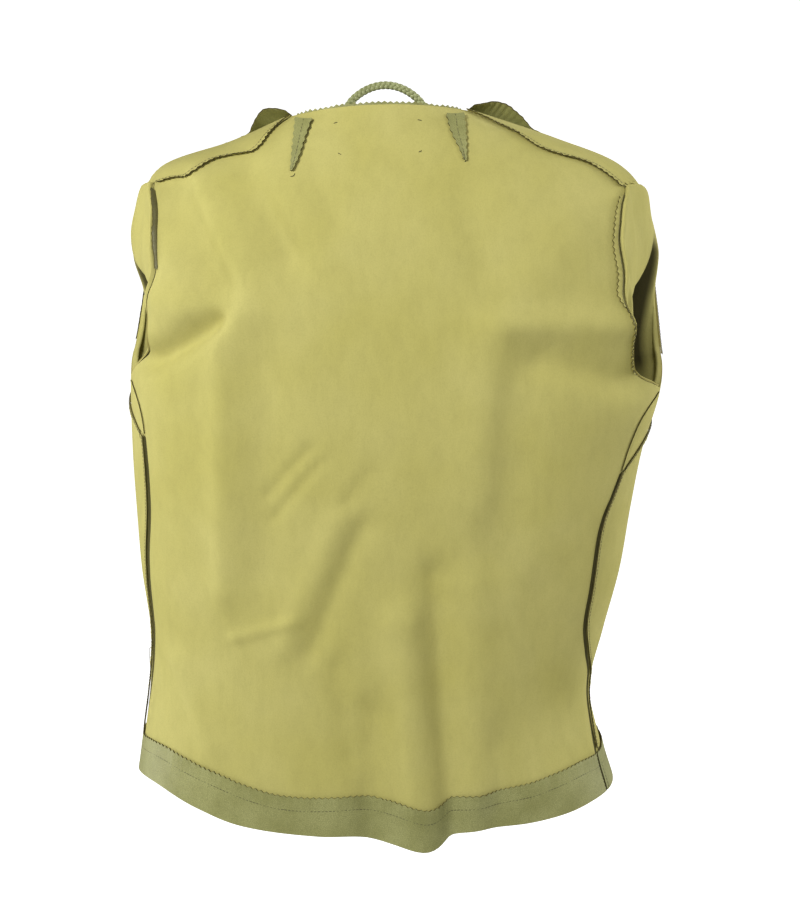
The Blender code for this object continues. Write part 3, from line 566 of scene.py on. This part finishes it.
# Short arched threads on the points of a guide, turned by its along and up attributes
def stitchGroup():
    group = bpy.data.node_groups.new("Stitches", "GeometryNodeTree")
    for name, kind in (("Guide", "Geometry"), ("Length", "Float"), ("Thickness", "Float"),
                       ("Unevenness", "Float"), ("Seed", "Int"), ("Material", "Material")):
        group.interface.new_socket(name, in_out="INPUT", socket_type="NodeSocket" + kind)
    group.interface.new_socket("Stitches", in_out="OUTPUT", socket_type="NodeSocketGeometry")
    given = addNode(group, "NodeGroupInput").outputs

    def first(kind, settings, inputs):
        return addNode(group, kind, settings, inputs).outputs[0]

    half, less, sunk, radius = (
        first("ShaderNodeMath", {"operation": "MULTIPLY"}, {0: given[size], 1: factor})
        for size, factor in (("Length", 0.5), ("Length", -0.5), ("Thickness", -0.8), ("Thickness", 0.5)))
    start = first("ShaderNodeCombineXYZ", {}, {"X": less, "Z": sunk})
    middle = first("ShaderNodeCombineXYZ", {}, {"Z": given["Thickness"]})
    end = first("ShaderNodeCombineXYZ", {}, {"X": half, "Z": sunk})
    line = first("GeometryNodeCurveQuadraticBezier", {},
                 {"Resolution": 5, "Start": start, "Middle": middle, "End": end})
    circle = first("GeometryNodeCurvePrimitiveCircle", {}, {"Resolution": 6, "Radius": radius})
    thread = first("GeometryNodeCurveToMesh", {},
                   {"Curve": line, "Profile Curve": circle, "Fill Caps": True})
    along, up = (first("GeometryNodeInputNamedAttribute", {"data_type": "FLOAT_VECTOR"}, {"Name": name})
                 for name in ("along", "up"))
    turned = first("FunctionNodeAlignRotationToVector", {"axis": "X"}, {"Vector": along})
    turned = first("FunctionNodeAlignRotationToVector", {"axis": "Z", "pivot_axis": "X"},
                   {"Rotation": turned, "Vector": up})
    skew = addNode(group, "FunctionNodeRandomValue", {"data_type": "FLOAT"},
                   {"Min": -0.12, "Max": 0.12, "Seed": given["Seed"]}).outputs[1]
    skew = first("ShaderNodeMath", {"operation": "MULTIPLY"}, {0: skew, 1: given["Unevenness"]})
    twist = first("ShaderNodeCombineXYZ", {}, {"Z": skew})
    twist = first("FunctionNodeEulerToRotation", {}, {"Euler": twist})
    turned = first("FunctionNodeRotateRotation", {"rotation_space": "LOCAL"},
                   {"Rotation": turned, "Rotate By": twist})
    placed = first("GeometryNodeInstanceOnPoints", {},
                   {"Points": given["Guide"], "Instance": thread, "Rotation": turned})
    real = first("GeometryNodeRealizeInstances", {}, {"Geometry": placed})
    ready = first("GeometryNodeSetMaterial", {}, {"Geometry": real, "Material": given["Material"]})
    addNode(group, "NodeGroupOutput", {}, {"Stitches": ready})
    return group


# A plain mesh of every stitch on the lines
def makeStitches(group, name, lines, settings):
    points = np.concatenate([line[0] for line in lines])
    data = bpy.data.meshes.new(name)
    data.from_pydata([tuple(p) for p in points], [], [])
    for key, k in (("along", 1), ("up", 2)):
        values = np.concatenate([line[k] for line in lines]).astype(np.float32)
        data.attributes.new(key, "FLOAT_VECTOR", "POINT").data.foreach_set("vector", values.ravel())
    guide = bpy.data.objects.new(name + "_guide", data)
    bpy.context.scene.collection.objects.link(guide)
    modifier = guide.modifiers.new("Stitches", "NODES")
    modifier.node_group = group
    for socket in group.interface.items_tree:
        if socket.in_out == "INPUT" and socket.name in settings:
            modifier[socket.identifier] = settings[socket.name]
    bpy.context.view_layer.update()
    evaluated = guide.evaluated_get(bpy.context.evaluated_depsgraph_get())
    plain = bpy.data.meshes.new_from_object(evaluated)
    plain.name = name
    plain.shade_smooth()
    made = bpy.data.objects.new(name, plain)
    bpy.context.scene.collection.objects.link(made)
    bpy.data.objects.remove(guide, do_unlink=True)
    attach(made, "root")
    return made


# Panels
grids = {"back": backGrid()}
for side in sides:
    for part in ("lower", "upper"):
        grids["front_%s_%s" % (part, side)] = frontGrid(side, part)
panels = {}
for name, grid in grids.items():
    # painted shade: the inner faces take the darkened copy of the grain side
    panels[name] = shell(name + "_panel", grid[0], grid[1], leather["wall"], "flesh", node=name, inner="fold")
# Painted shade: a dark line on the first columns of each lower front panel along the side seam, where the
# seam's shadow falls
sideSeamShade = 0.9
for side in sides:
    deep = np.zeros(grids["front_lower_" + side][0].shape[:2])
    deep[:, :2] = sideSeamShade
    setPaintedShade(panels["front_lower_" + side], deep)
print("panels made")


# The whole front of one side as one grid, from the hem to the shoulder
def combined(side):
    lower, upper = grids["front_lower_" + side], grids["front_upper_" + side]
    return tuple(np.concatenate([a, b]) for a, b in zip(lower[:2], upper[:2]))


# The row of an edge that lies a length along it
def rowAt(grid, edge, height):
    points = fromEdge(grid, edge)[0][:, 0]
    return float(np.interp(height, lineLengths(points), np.arange(len(points))))


# Hem facings: grain leather turned up inside the hem, pinked along the top
hemFacing = {
    "inset": 0.0006, "stitchBelow": 0.0125, "curl": 0.0004, "across": 14, "seed": 3, "endStitches": 0.033,
    "heights": {
        # share across the band, height
        "back": ((0.0, 0.034), (0.25, 0.0385), (0.36, 0.034), (0.47, 0.0365), (0.58, 0.0385),
                 (0.70, 0.0335), (0.82, 0.035), (0.92, 0.0385), (1.0, 0.036)),
        "front": ((0.0, 0.036), (0.4, 0.038), (1.0, 0.037)),
    },
}
for home in ("back", "front_lower_left", "front_lower_right"):
    node = "hem_facing_" + home.split("_")[-1]
    grid, heights = grids[home], hemFacing["heights"][home.split("_")[0]]
    columns = grid[0].shape[1]
    lines = acrossAt(grid, "bottom", 0.4, columns - 1.4)
    height = throughRows(heights, lines[2] / lines[2][-1])[:, 1]
    strip(node + "_band", lines, hemFacing["inset"], height, hemFacing, node=node)
    stitchesAlong("hem", grid, "bottom", 1.0, columns - 2.0, lambda part, heights=heights: throughRows(
        heights, part)[:, 1] - hemFacing["stitchBelow"], onTrim)
for home, edge, distance in (("back", "last", 0.0018), ("front_lower_right", "first", 0.0055)):
    high = rowAt(grids[home], edge, hemFacing["endStitches"])
    stitchesAlong("hem_end", grids[home], edge, 1.0, high, distance, onTrim)
print("hem facings made")

# Front facings: along the open edges, standing off at the shoulder as a lapel
frontFacing = {"share": 2 / 9, "inset": 0.0005, "aboveHem": 0.040, "stitchAt": 0.004,
               "curl": 0.0006, "seed": 5, "across": 16,
               "lapelLift": 0.0125, "lapelStart": 0.957, "lapelEnd": 1.004}
for side in sides:
    whole = combined(side)
    rows = whole[0].shape[0]
    low = rowAt(whole, "last", frontFacing["aboveHem"])
    lines = acrossAt(whole, "last", low, rows - 1.2)
    reach = np.array([lineLengths(line)[-1] for line in lines[0]]) * frontFacing["share"]
    shares = np.linspace(0, 1, 60)
    edgeHeights = bodyPoint(throughRows(frontEdge, shares)[:, 1] * sides[side], shares)[:, 2]
    share = np.interp(lines[0][:, 0, 2], edgeHeights, shares)
    lapel = frontFacing["lapelEnd"] - frontFacing["lapelStart"]
    lift = frontFacing["lapelLift"] * np.sin(
        np.pi * np.clip((share - frontFacing["lapelStart"]) / lapel, 0, 1)) ** 1.2
    node = "front_facing_" + side
    strip(node + "_band", lines, frontFacing["inset"], reach,
                        {**frontFacing, "extraLift": lift}, node=node)
    stitchesAlong("front_edge_" + side, whole, "last", low, rows - 20, frontFacing["stitchAt"], onTrim)
print("front facings made")

# Pinked allowances of the side, underarm, front and shoulder seams, and how far in they are stitched
stitchAt = {"side": 0.0052, "front": 0.0014, "shoulder": 0.0015, "armhole": 0.0012}
allowance = {"near": 0.0005, "wide": 0.0072, "aboveHem": 0.0375, "frontSeamShare": 0.70,
             "shoulder": (0.8875, 0.9985)}
pressedFlat = {"nearLift": -0.00035, "extraLift": -0.00035}
allowanceStyles = {
    "side": {"near": 0.0034, "wide": 0.0082, "curl": 0.0003, "nearLift": 0.0006,
             "seed": {"left": 8, "right": 7}},
    "underarm": {"curl": 0.0002, "seed": {"left": 9, "right": 9}, **pressedFlat},
    "front_seam": {"curl": 0.0003, "seed": {"left": 11, "right": 11}, **pressedFlat},
    "shoulder": {"curl": 0.0015, "uneven": 0.25, "seed": {"left": 14, "right": 13}},
}


# The allowance of a seam along a stretch of a panel's edge
def seamAllowance(kind, side, grid, edge, low, high):
    style = {**allowance, **allowanceStyles[kind]}
    style["seed"] = style["seed"][side]
    node = "%s_allowance_%s" % (kind, side)
    strip(node + "_strip", acrossAt(grid, edge, low, high), style["near"], style["wide"],
                        style, finish="flesh", node=node)


for side in sides:
    lower, upper, back = grids["front_lower_" + side], grids["front_upper_" + side], grids["back"]
    low, rows = rowAt(lower, "first", allowance["aboveHem"]), lower[0].shape[0]
    seamAllowance("side", side, lower, "first", low, rows - 1.3)
    stitchesAlong("side_" + side, lower, "first", low, rows - 2, stitchAt["side"], onTrim + 0.0003)
    seamAllowance("underarm", side, upper, "first", 1.0, rowOf(upper[2], armholeBack[side][0][0]) - 1.5)
    low = rowAt(lower, "top", allowanceStyles["side"]["wide"] + 0.002)
    high = lower[0].shape[1] * allowance["frontSeamShare"]
    seamAllowance("front_seam", side, lower, "top", low, high)
    stitchesAlong("front_" + side, lower, "top", low, high, stitchAt["front"], onTrim)
    edge = "last" if side == "right" else "first"
    low, high = (rowOf(back[2], share) for share in allowance["shoulder"])
    seamAllowance("shoulder", side, back, edge, low, high)
    stitchesAlong("shoulder_" + side, back, edge, low, high, stitchAt["shoulder"], onTrim)
print("seam allowances made")

# Armhole allowances: pressed on the body on the right, standing up on the left
pressed = {"curl": {"back": 0.0010, "front": 0.0001}, "rim": {"back": "edge", "front": "cut"},
           "shares": (0.755, 0.775), "back": (0.0026, 0.0072), "front": (0.0050, 0.0050)}
# toothShare is how much of a tooth each metre of reach gets
standing = {"shares": (0.76, 0.80, 0.84, 0.87, 0.886), "back": (0.0012, 0.0010, 0.0040, 0.0052, 0.0036),
            "front": (0.0008, 0.0008, 0.0010, 0.0012, 0.0010), "lean": 0.0020, "backFrom": 0.80,
            "foot": {"back": leather["air"], "front": 0.0001}, "toothShare": 0.7 / 0.006}


# A strip that stands on the seam and leans out over the sleeve
def standingStrip(name, face, lines, share):
    points, normals = [], []
    for i, place in enumerate(lines[2]):
        (there, inside), facing = inward(lines[0][i], lines[1][i], np.array([0.0010, 0.0040]))
        into = unit(inside - there - facing[0] * np.dot(inside - there, facing[0]))
        reach = np.interp(share[i], standing["shares"], standing[face])
        reach -= leather["toothDepth"] * saw(place) * reach * standing["toothShare"]
        part = np.linspace(0, 1, 5)[:, None]
        lean = standing["lean"] * (1 + 0.4 * wander(place, 4)) * part**2
        foot = leather["wall"] / 2 + standing["foot"][face]
        points.append(there + facing[0] * (foot + reach * part) - into * lean)
        normals.append(np.repeat(into[None, :], 5, axis=0))
    # painted shade: the standing strip takes the darkened copy of the grain side
    return shell(name + "_strip", points, normals, leather["trimWall"], "fold", node=name,
                 rim=pressed["rim"][face])


for side in sides:
    for face in ("back", "front"):
        grid = grids["back" if face == "back" else "front_upper_" + side]
        edge = "last" if (side, face) == ("right", "back") else "first"
        name = "armhole_allowance_%s_%s" % (face, side)
        start = standing["backFrom"] if (side, face) == ("left", "back") else armholeBack[side][0][0] + 0.030
        low, high = rowOf(grid[2], start), rowOf(grid[2], tipShare) - 1.5
        lines = acrossAt(grid, edge, low, high)
        edgeLengths = lineLengths(fromEdge(grid, edge)[0][:, 0])
        row = np.interp(lines[2], edgeLengths - edgeLengths[int(low)], np.arange(len(edgeLengths)))
        share = np.interp(row, np.arange(len(grid[2])), grid[2])
        if side == "left":
            standingStrip(name, face, lines, share)
            continue
        reach = np.interp(share, pressed["shares"], pressed[face])
        strip(name + "_strip", lines, allowance["near"], reach,
                            {"curl": pressed["curl"][face], "uneven": 0.4, "seed": 15,
                             "rim": pressed["rim"][face], **pressedFlat}, finish="flesh", node=name)
        stitchesAlong("armhole_right", grid, edge, low, high, stitchAt["armhole"], onTrim)
print("armhole allowances made")

# Sleeves: from the armhole seam over the puffed cap, folded, into the body and down
sleeveRings = (
    # name, outTop, outLow, fall, drop, across, lean, follow, roll
    ("capHigh", 0.0070, -0.0040, 0.020, 0.000, 0.940, 0.0, 0.92, 0.08),
    ("capFull", 0.0100, -0.0080, 0.043, 0.000, 0.910, 0.0, 0.84, 0.26),
    ("capLow", 0.0090, -0.0120, 0.066, 0.000, 0.880, 2.0, 0.74, 0.50),
    ("foldEdge", 0.0030, -0.0160, 0.077, 0.000, 0.850, 6.0, 0.62, 0.64),
    ("tuck", -0.0050, -0.0190, 0.075, 0.000, 0.840, 8.0, 0.56, 0.63),
    ("secondPly", -0.0035, -0.0200, 0.084, 0.000, 0.830, 9.0, 0.52, 0.64),
    ("secondEdge", -0.0060, -0.0220, 0.091, 0.000, 0.820, 10.0, 0.48, 0.64),
    ("under", -0.0160, -0.0260, 0.088, 0.001, 0.810, 14.0, 0.38, 0.58),
    ("mouth", -0.0290, -0.0340, 0.082, 0.003, 0.790, 24.0, 0.16, 0.44),
    ("throat", -0.0450, -0.0470, 0.078, 0.012, 0.770, 40.0, 0.05, 0.24),
    ("bend", -0.0650, -0.0650, 0.080, 0.030, 0.770, 60.0, 0.00, 0.08),
    ("upper", -0.0800, -0.0800, 0.082, 0.060, 0.780, 76.0, 0.00, 0.00),
)
sleeveTube = (
    # x, y, z, halfWidth, halfDepth
    (0.126, -0.010, -0.262, 0.043, 0.048),
    (0.121, -0.008, -0.315, 0.041, 0.046),
    (0.117, -0.004, -0.370, 0.040, 0.043),
    (0.114, 0.002, -0.425, 0.037, 0.041),
    (0.112, 0.004, -0.480, 0.034, 0.039),
    (0.111, 0.004, -0.533, 0.032, 0.038),
)
sleeve = {
    "left": {"puff": 0.0035, "flatten": 0.85, "rollShare": 0.42, "inset": 0.0020},
    "right": {"puff": 0.0, "flatten": 0.45, "rollShare": 1.0, "inset": 0.0012},
    "rise": 0.0035, "sink": 0.0045, "between": 8,
}
# Painted shade inside the armholes: how dark each ring is painted, from 0 to 1, by how deep it lies in a fold
foldDepth = {"rings": (5.0, 5.7, 6.3, 7.0, 8.0, 8.8, 10.0), "deep": (0.0, 0.75, 0.75, 0.15, 0.15, 0.85, 1.0),
             "frontRings": (2.8, 4.2), "frontDeep": (0.0, 0.92)}


# Seam points up the back, over the tip and down the front, with directions
def armholeRing(side):
    shares = ladder(armholeBack[side][0][0], tipShare, 0.0030)
    angles = np.concatenate([edgeAngle(side, shares, "back"), edgeAngle(side, shares[-2:0:-1], "front")])
    shares = np.concatenate([shares, shares[-2:0:-1]])
    seam, outward = bodyGrid(angles, shares)
    tangents = np.roll(seam, -1, axis=0) - np.roll(seam, 1, axis=0)
    into = unit(np.cross(tangents, outward))
    if np.sum(into * (seam.mean(axis=0) - seam)) < 0:
        into = -into
    return seam, outward, into


# Rings of the sleeve's middle, seam first, with more between them
def sleeveGrid(side):
    sign, cap = sides[side], sleeve[side]
    seam, outward, into = armholeRing(side)
    low, high = seam.min(axis=0), seam.max(axis=0)
    centre = (low + high) / 2
    upHalf, acrossHalf = (high[2] - low[2]) / 2, (high[1] - low[1]) / 2
    up, across = (seam[:, 2] - centre[2]) / upHalf, (seam[:, 1] - centre[1]) / acrossHalf
    sideways = seam[:, 0] - centre[0]
    turn = np.arctan2(up, across)
    upper = np.clip((up + 0.7) / 1.1, 0.0, 1.0)
    upper = upper * upper * (3 - 2 * upper)
    rise = sleeve["rise"] * upper - sleeve["sink"] * (1 - upper)
    rings = [seam + into * cap["inset"] - outward * leather["wall"] / 2,
             seam + into * 2 * cap["inset"] + outward * rise[:, None]]
    for _, top, bottom, fall, drop, wide, lean, follow, roll in sleeveRings:
        tilt = math.radians(lean)
        upright = np.array([-sign * math.sin(tilt), 0.0, math.cos(tilt)])
        u = up * follow + np.sin(turn) * (1 - follow)
        w = across * follow + np.cos(turn) * (1 - follow)
        puff = cap["puff"] * max(0.0, top) / sleeveRings[1][1]
        flat = 1 - cap["flatten"] * np.clip(-across, 0, 1) ** 1.5
        out = bottom + ((top + puff) * flat - bottom) * upper
        height = u * upHalf + fall / 2 - fall * ((u + 1) / 2) ** (1 + follow)
        ring = (centre - np.array([0.0, 0.0, drop + fall / 2]) + np.outer(height, upright)
                + np.outer(w * acrossHalf * wide, (0.0, 1.0, 0.0)))
        ring[:, 0] += sideways * follow + sign * out
        ring[:, 2] += cap["rollShare"] * roll * w * acrossHalf * wide * upper
        rings.append(ring)
    for x, y, z, halfWidth, halfDepth in sleeveTube:
        rings.append(np.stack([sign * (x - halfWidth * np.sin(turn)), y + halfDepth * np.cos(turn),
                               np.full(turn.shape, z)], axis=-1))
    rings = np.array(rings)
    table = np.concatenate([np.arange(len(rings))[:, None], rings.reshape(len(rings), -1)], axis=1)
    places = np.linspace(0, len(rings) - 1, (len(rings) - 1) * sleeve["between"] + 1)
    fine = throughRows(table, places)[:, 1:].reshape(len(places), -1, 3)
    around = np.roll(fine, -1, axis=1) - np.roll(fine, 1, axis=1)
    normals = unit(np.cross(around, np.gradient(fine, axis=0))) * -sign
    return fine, normals, across


for side in sides:
    fine, facing, across = sleeveGrid(side)
    # painted shade: the sleeve's inner faces take the darkened copy of the grain side
    made = shell("sleeve_%s_tube" % side, fine, facing, leather["wall"], "flesh",
                 ring=True, node="sleeve_" + side, inner="fold")
    ringPlace = np.arange(len(fine)) / sleeve["between"]
    deep = np.interp(ringPlace, foldDepth["rings"], foldDepth["deep"])[:, None]
    behind = np.interp(ringPlace, foldDepth["frontRings"], foldDepth["frontDeep"])[:, None]
    front = np.clip((across[None, :] + 0.1) / 0.5, 0, 1)
    setPaintedShade(made, deep * (1 - front) + np.maximum(deep, behind) * front)
print("sleeves made")

# Neck darts: the cut allowance of each, laid open, pinked on both sides
darts = {
    "left": (
        # z, xOuter, xStitch, xInner
        (-0.0330, -0.0712, -0.0700, -0.0685), (-0.0200, -0.0705, -0.0662, -0.0620),
        (-0.0075, -0.0692, -0.0633, -0.0575), (0.0060, -0.0680, -0.0600, -0.0522),
    ),
    "right": (
        (-0.0250, 0.0704, 0.0692, 0.0680), (-0.0150, 0.0708, 0.0668, 0.0630),
        (-0.0040, 0.0705, 0.0635, 0.0570), (0.0098, 0.0690, 0.0610, 0.0527),
    ),
}
dart = {"lift": 0.0005, "curlOuter": 0.0002, "curlInner": 0.0012}


# Angles and height shares of places on the back, seen square on
def placeOnBack(x, z):
    x, z = np.asarray(x, float), np.asarray(z, float)
    low, high = np.full(x.shape, 0.30), np.full(x.shape, 1.0)
    for _ in range(26):
        share = (low + high) / 2
        left, right = np.full(x.shape, -80.0), np.full(x.shape, 80.0)
        for _ in range(24):
            angle = (left + right) / 2
            less = bodyPoint(angle, share)[..., 0] < x
            left, right = np.where(less, angle, left), np.where(less, right, angle)
        below = bodyPoint(angle, share)[..., 2] < z
        low, high = np.where(below, share, low), np.where(below, high, share)
    return angle, share


for side, sections in darts.items():
    first, last = sections[0][0], sections[-1][0]
    z = np.linspace(first, last, 34)
    rows = throughRows(sections, z)
    part = np.linspace(-1, 1, 9)
    outer, stitch, inner = rows[:, 1:2], rows[:, 2:3], rows[:, 3:4]
    tooth = 1 - 0.0014 * saw(z - first)[:, None] / np.maximum(np.abs(inner - stitch), 0.004)
    x = stitch + np.where(part < 0, outer - stitch, inner - stitch) * np.abs(part) * tooth
    angle, share = placeOnBack(x, z[:, None] + 0 * x)
    there, facing = bodyGrid(angle, share)
    curl = np.where(part < 0, dart["curlOuter"], dart["curlInner"]) * part**2
    points = there + facing * (leather["onPanel"] + dart["lift"] + curl)[None, :, None]
    name = "dart_allowance_" + side
    shell(name + "_strip", points, facing, leather["trimWall"], "grain", node=name, rim="edge")
    line = np.linspace(2, len(z) - 2, 14).astype(int)
    noteStitches("dart_" + side, points[line, 4] + facing[line, 4] * leather["trimWall"] / 2, facing[line, 4])
print("darts made")

# Neck allowance: stands just above the back neckline, pinked
neck = {"below": 0.012, "above": 0.0038}
lines = acrossAt(grids["back"], "top", 7.0, grids["back"][0].shape[1] - 8.0)
points, normals = [], []
for i in range(len(lines[0])):
    there, facing = inward(lines[0][i], lines[1][i], np.array([neck["below"], neck["below"] / 2, 0.0]))
    there = there - facing * leather["onPanel"]
    reach = neck["above"] - leather["toothDepth"] * saw(lines[2][i])
    rises = there[2] + np.outer([0.5, 1.0], [0.0, 0.0, reach]) + np.outer(
        [0.3, 1.0], facing[2] * 0.0006 * (wander(lines[2][i], 6) - 0.5))
    points.append(np.concatenate([there, rises]))
    normals.append(np.concatenate([facing, facing[2:], facing[2:]]))
shell("neck_allowance_strip", points, normals, leather["trimWall"], "grain",
                                node="neck_allowance")


# Oval rings round the points of a line
def tubeRings(points, side, up, halfWide, halfThick, count):
    around = np.linspace(0, 2 * np.pi, count, endpoint=False)[None, :, None]
    section = side[:, None] * halfWide * np.cos(around) + up[:, None] * halfThick * np.sin(around)
    return points[:, None] + section


# Faces of a tube of rings with both ends closed, its vertices counted from start
def tubeFaces(rings, start=0):
    index = start + np.arange(rings.shape[0] * rings.shape[1]).reshape(rings.shape[:2])
    wrapped = np.concatenate([index, index[:, :1]], axis=1)
    return quadsOf(wrapped).reshape(-1, 4).tolist() + [index[0][::-1].tolist(), index[-1].tolist()]


# Hanging loop: three narrow strips plaited
plait = {"left": -0.030, "right": 0.044, "rise": 0.0205, "tail": 0.010, "pitch": 0.0118,
         "half": 0.0019, "thick": 0.0009, "swing": 0.0014, "weave": 0.0010, "inside": 0.0060}
feet = []
for x in (plait["left"], plait["right"]):
    angle, _ = placeOnBack(np.array([x]), np.array([bodyPoint(0.0, 1.0)[2] - 0.006]))
    feet.append((bodyPoint(angle, 1.0) - bodyNormal(angle, np.array([1.0])) * plait["inside"])[0])
part = np.linspace(0, 1, 90)
arch = feet[0] + (feet[1] - feet[0]) * part[:, None]
arch[:, 2] += plait["rise"] * np.sin(np.pi * part) ** 0.6
tail = np.linspace(1, 0, 10)[:, None] * np.array([0, 0, plait["tail"]])
route = np.concatenate([feet[0] - tail[:-1], arch[:1], arch[1:], feet[1] - tail[::-1][1:]])
lengths = lineLengths(route)
even = np.linspace(0, lengths[-1], 260)
route = np.stack([np.interp(even, lengths, route[:, k]) for k in range(3)], axis=-1)
along = unit(np.gradient(route, axis=0))
out = unit(np.array([[0.0, -1.0, 0.0]]) - along * along[:, 1:2] * -1)
over = np.cross(out, along)
strands = []
for k in range(3):
    phase = 2 * np.pi * (even / plait["pitch"] + k / 3)
    middle = (route + over * (plait["swing"] * np.sin(phase))[:, None]
              + out * (plait["weave"] * np.sin(2 * phase))[:, None])
    line = unit(np.gradient(middle, axis=0))
    side = unit(np.cross(out, line))
    strands.append(tubeRings(middle, side, np.cross(line, side), plait["half"], plait["thick"], 12))
faces = []
for k, strand in enumerate(strands):
    faces += tubeFaces(strand, k * strand.shape[0] * strand.shape[1])
loop = objectFrom("hanging_loop_plait", np.concatenate(strands).reshape(-1, 3), faces, [finishes["plait"]])
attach(loop, "root")
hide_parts("hanging_loop")
print("neckline and hanging loop made")

# Stitches, in thread, from Geometry Nodes
stitch = {"Length": 0.0030, "Thickness": 0.00052, "Unevenness": 1.0, "Seed": 4,
          "Material": finishes["thread"]}
group = stitchGroup()
for i, (name, lines) in enumerate(stitchLines.items()):
    makeStitches(group, "stitches_" + name, lines, {**stitch, "Seed": stitch["Seed"] + i})


# A loose thread along points
def threadTube(name, points, radius=0.00024):
    line = unit(np.gradient(points, axis=0))
    side = unit(np.cross(line, np.array([0.31, 0.17, 0.93])))
    rings = tubeRings(points, side, np.cross(line, side), radius, radius, 6)
    made = objectFrom(name, rings.reshape(-1, 3), tubeFaces(rings), [finishes["thread"]])
    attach(made, "root")


# Tack stitches round a bare place below the neckline, and thread ends
tacks = (
    # degrees, share, turn of the stitch
    (-18.7, 0.983, 20), (16.0, 0.984, -15), (-10.3, 0.951, -30), (9.2, 0.953, 25),
)
for i, (degrees, share, turn) in enumerate(tacks):
    there, facing = bodyGrid(np.array([degrees]), np.array([share]))
    across = np.array([math.cos(math.radians(turn)), 0.0, math.sin(math.radians(turn))])
    part = np.linspace(-1, 1, 9)
    points = there + across * part[:, None] * 0.0016 + facing * (
        leather["wall"] / 2 + 0.0006 * (1 - part**2) - 0.0002)[:, None]
    threadTube("label_tack_%d" % (i + 1), points, 0.0003)
ends = {
    "side_left": (((-76.6, 0.2442), (-79.0, 0.232), (-79.5, 0.214), (-77.5, 0.196)), 0.0032),
    "dart_left": (((-20.6, 0.9295), (-20.2, 0.9270), (-20.9, 0.9262)), 0.0012),
    "dart_right": (((20.3, 0.9445), (20.8, 0.9420), (20.1, 0.9410)), 0.0012),
}
for name, (places, lift) in ends.items():
    table = np.array([(i, *place) for i, place in enumerate(places)], float)
    row = throughRows(table, np.linspace(0, len(places) - 1, 24))
    there, facing = bodyGrid(row[:, 1], row[:, 2])
    height = np.interp(np.arange(24), [0, 5, 23], [leather["wall"] / 2, lift, lift * 0.8])
    threadTube("thread_end_" + name, there + facing * height[:, None])
print("stitches made")

# Studio: white floor, a soft key light from the upper left, a fill from the right, a light at each side
camera = bpy.data.cameras.new("camera")
camera.lens = 89.3
cameraObject = bpy.data.objects.new("camera", camera)
cameraObject.location = (0.017, -1.90739, 0.12143)
cameraObject.rotation_euler = (math.radians(78.0), 0.0, 0.0)
bpy.context.scene.collection.objects.link(cameraObject)
bpy.context.scene.camera = cameraObject

lights = (
    # name, location, target, size, watts
    ("key", (-0.98, -1.50, 0.86), (0.0, 0.0, -0.05), 0.6, 41.0),
    ("fill", (1.4, -1.9, 0.9), (0.0, 0.0, 0.0), 1.2, 13.0),
    ("left side", (-2.2, 0.3, -0.5), (0.0, 0.0, -0.35), 1.2, 27.0),
    ("right side", (2.0, 0.5, 0.2), (0.0, 0.0, -0.3), 1.2, 32.0),
)
for name, location, target, size, watts in lights:
    light = bpy.data.lights.new(name, "AREA")
    light.shape = "DISK"
    light.size = size
    light.energy = watts
    lamp = bpy.data.objects.new(name, light)
    lamp.location = location
    heading = unit(np.array(target) - np.array(location))
    lamp.rotation_euler = (math.acos(-heading[2]), 0.0, math.atan2(-heading[0], heading[1]))
    bpy.context.scene.collection.objects.link(lamp)

world = bpy.data.worlds.new("studio")
world.use_nodes = True
world.node_tree.nodes["Background"].inputs["Color"].default_value = (1.0, 1.0, 1.0, 1.0)
world.node_tree.nodes["Background"].inputs["Strength"].default_value = 0.25
bpy.context.scene.world = world

# white painted floor
white, tree, shader, _ = newMaterial("white painted floor")
shader.inputs["Base Color"].default_value = (0.55, 0.55, 0.55, 1.0)
shader.inputs["Roughness"].default_value = 0.9
shader.inputs["Emission Color"].default_value = (1.0, 1.0, 1.0, 1.0)
seen = addNode(tree, "ShaderNodeLightPath").outputs["Is Camera Ray"]
tree.links.new(seen, shader.inputs["Emission Strength"])
floor = objectFrom("floor", [(-90, -90, -1.1), (90, -90, -1.1), (90, 220, -1.1), (-90, 220, -1.1)],
                   [(0, 1, 2, 3)], [white], smooth=False)
bpy.context.scene.view_settings.view_transform = "Standard"
print("studio made")
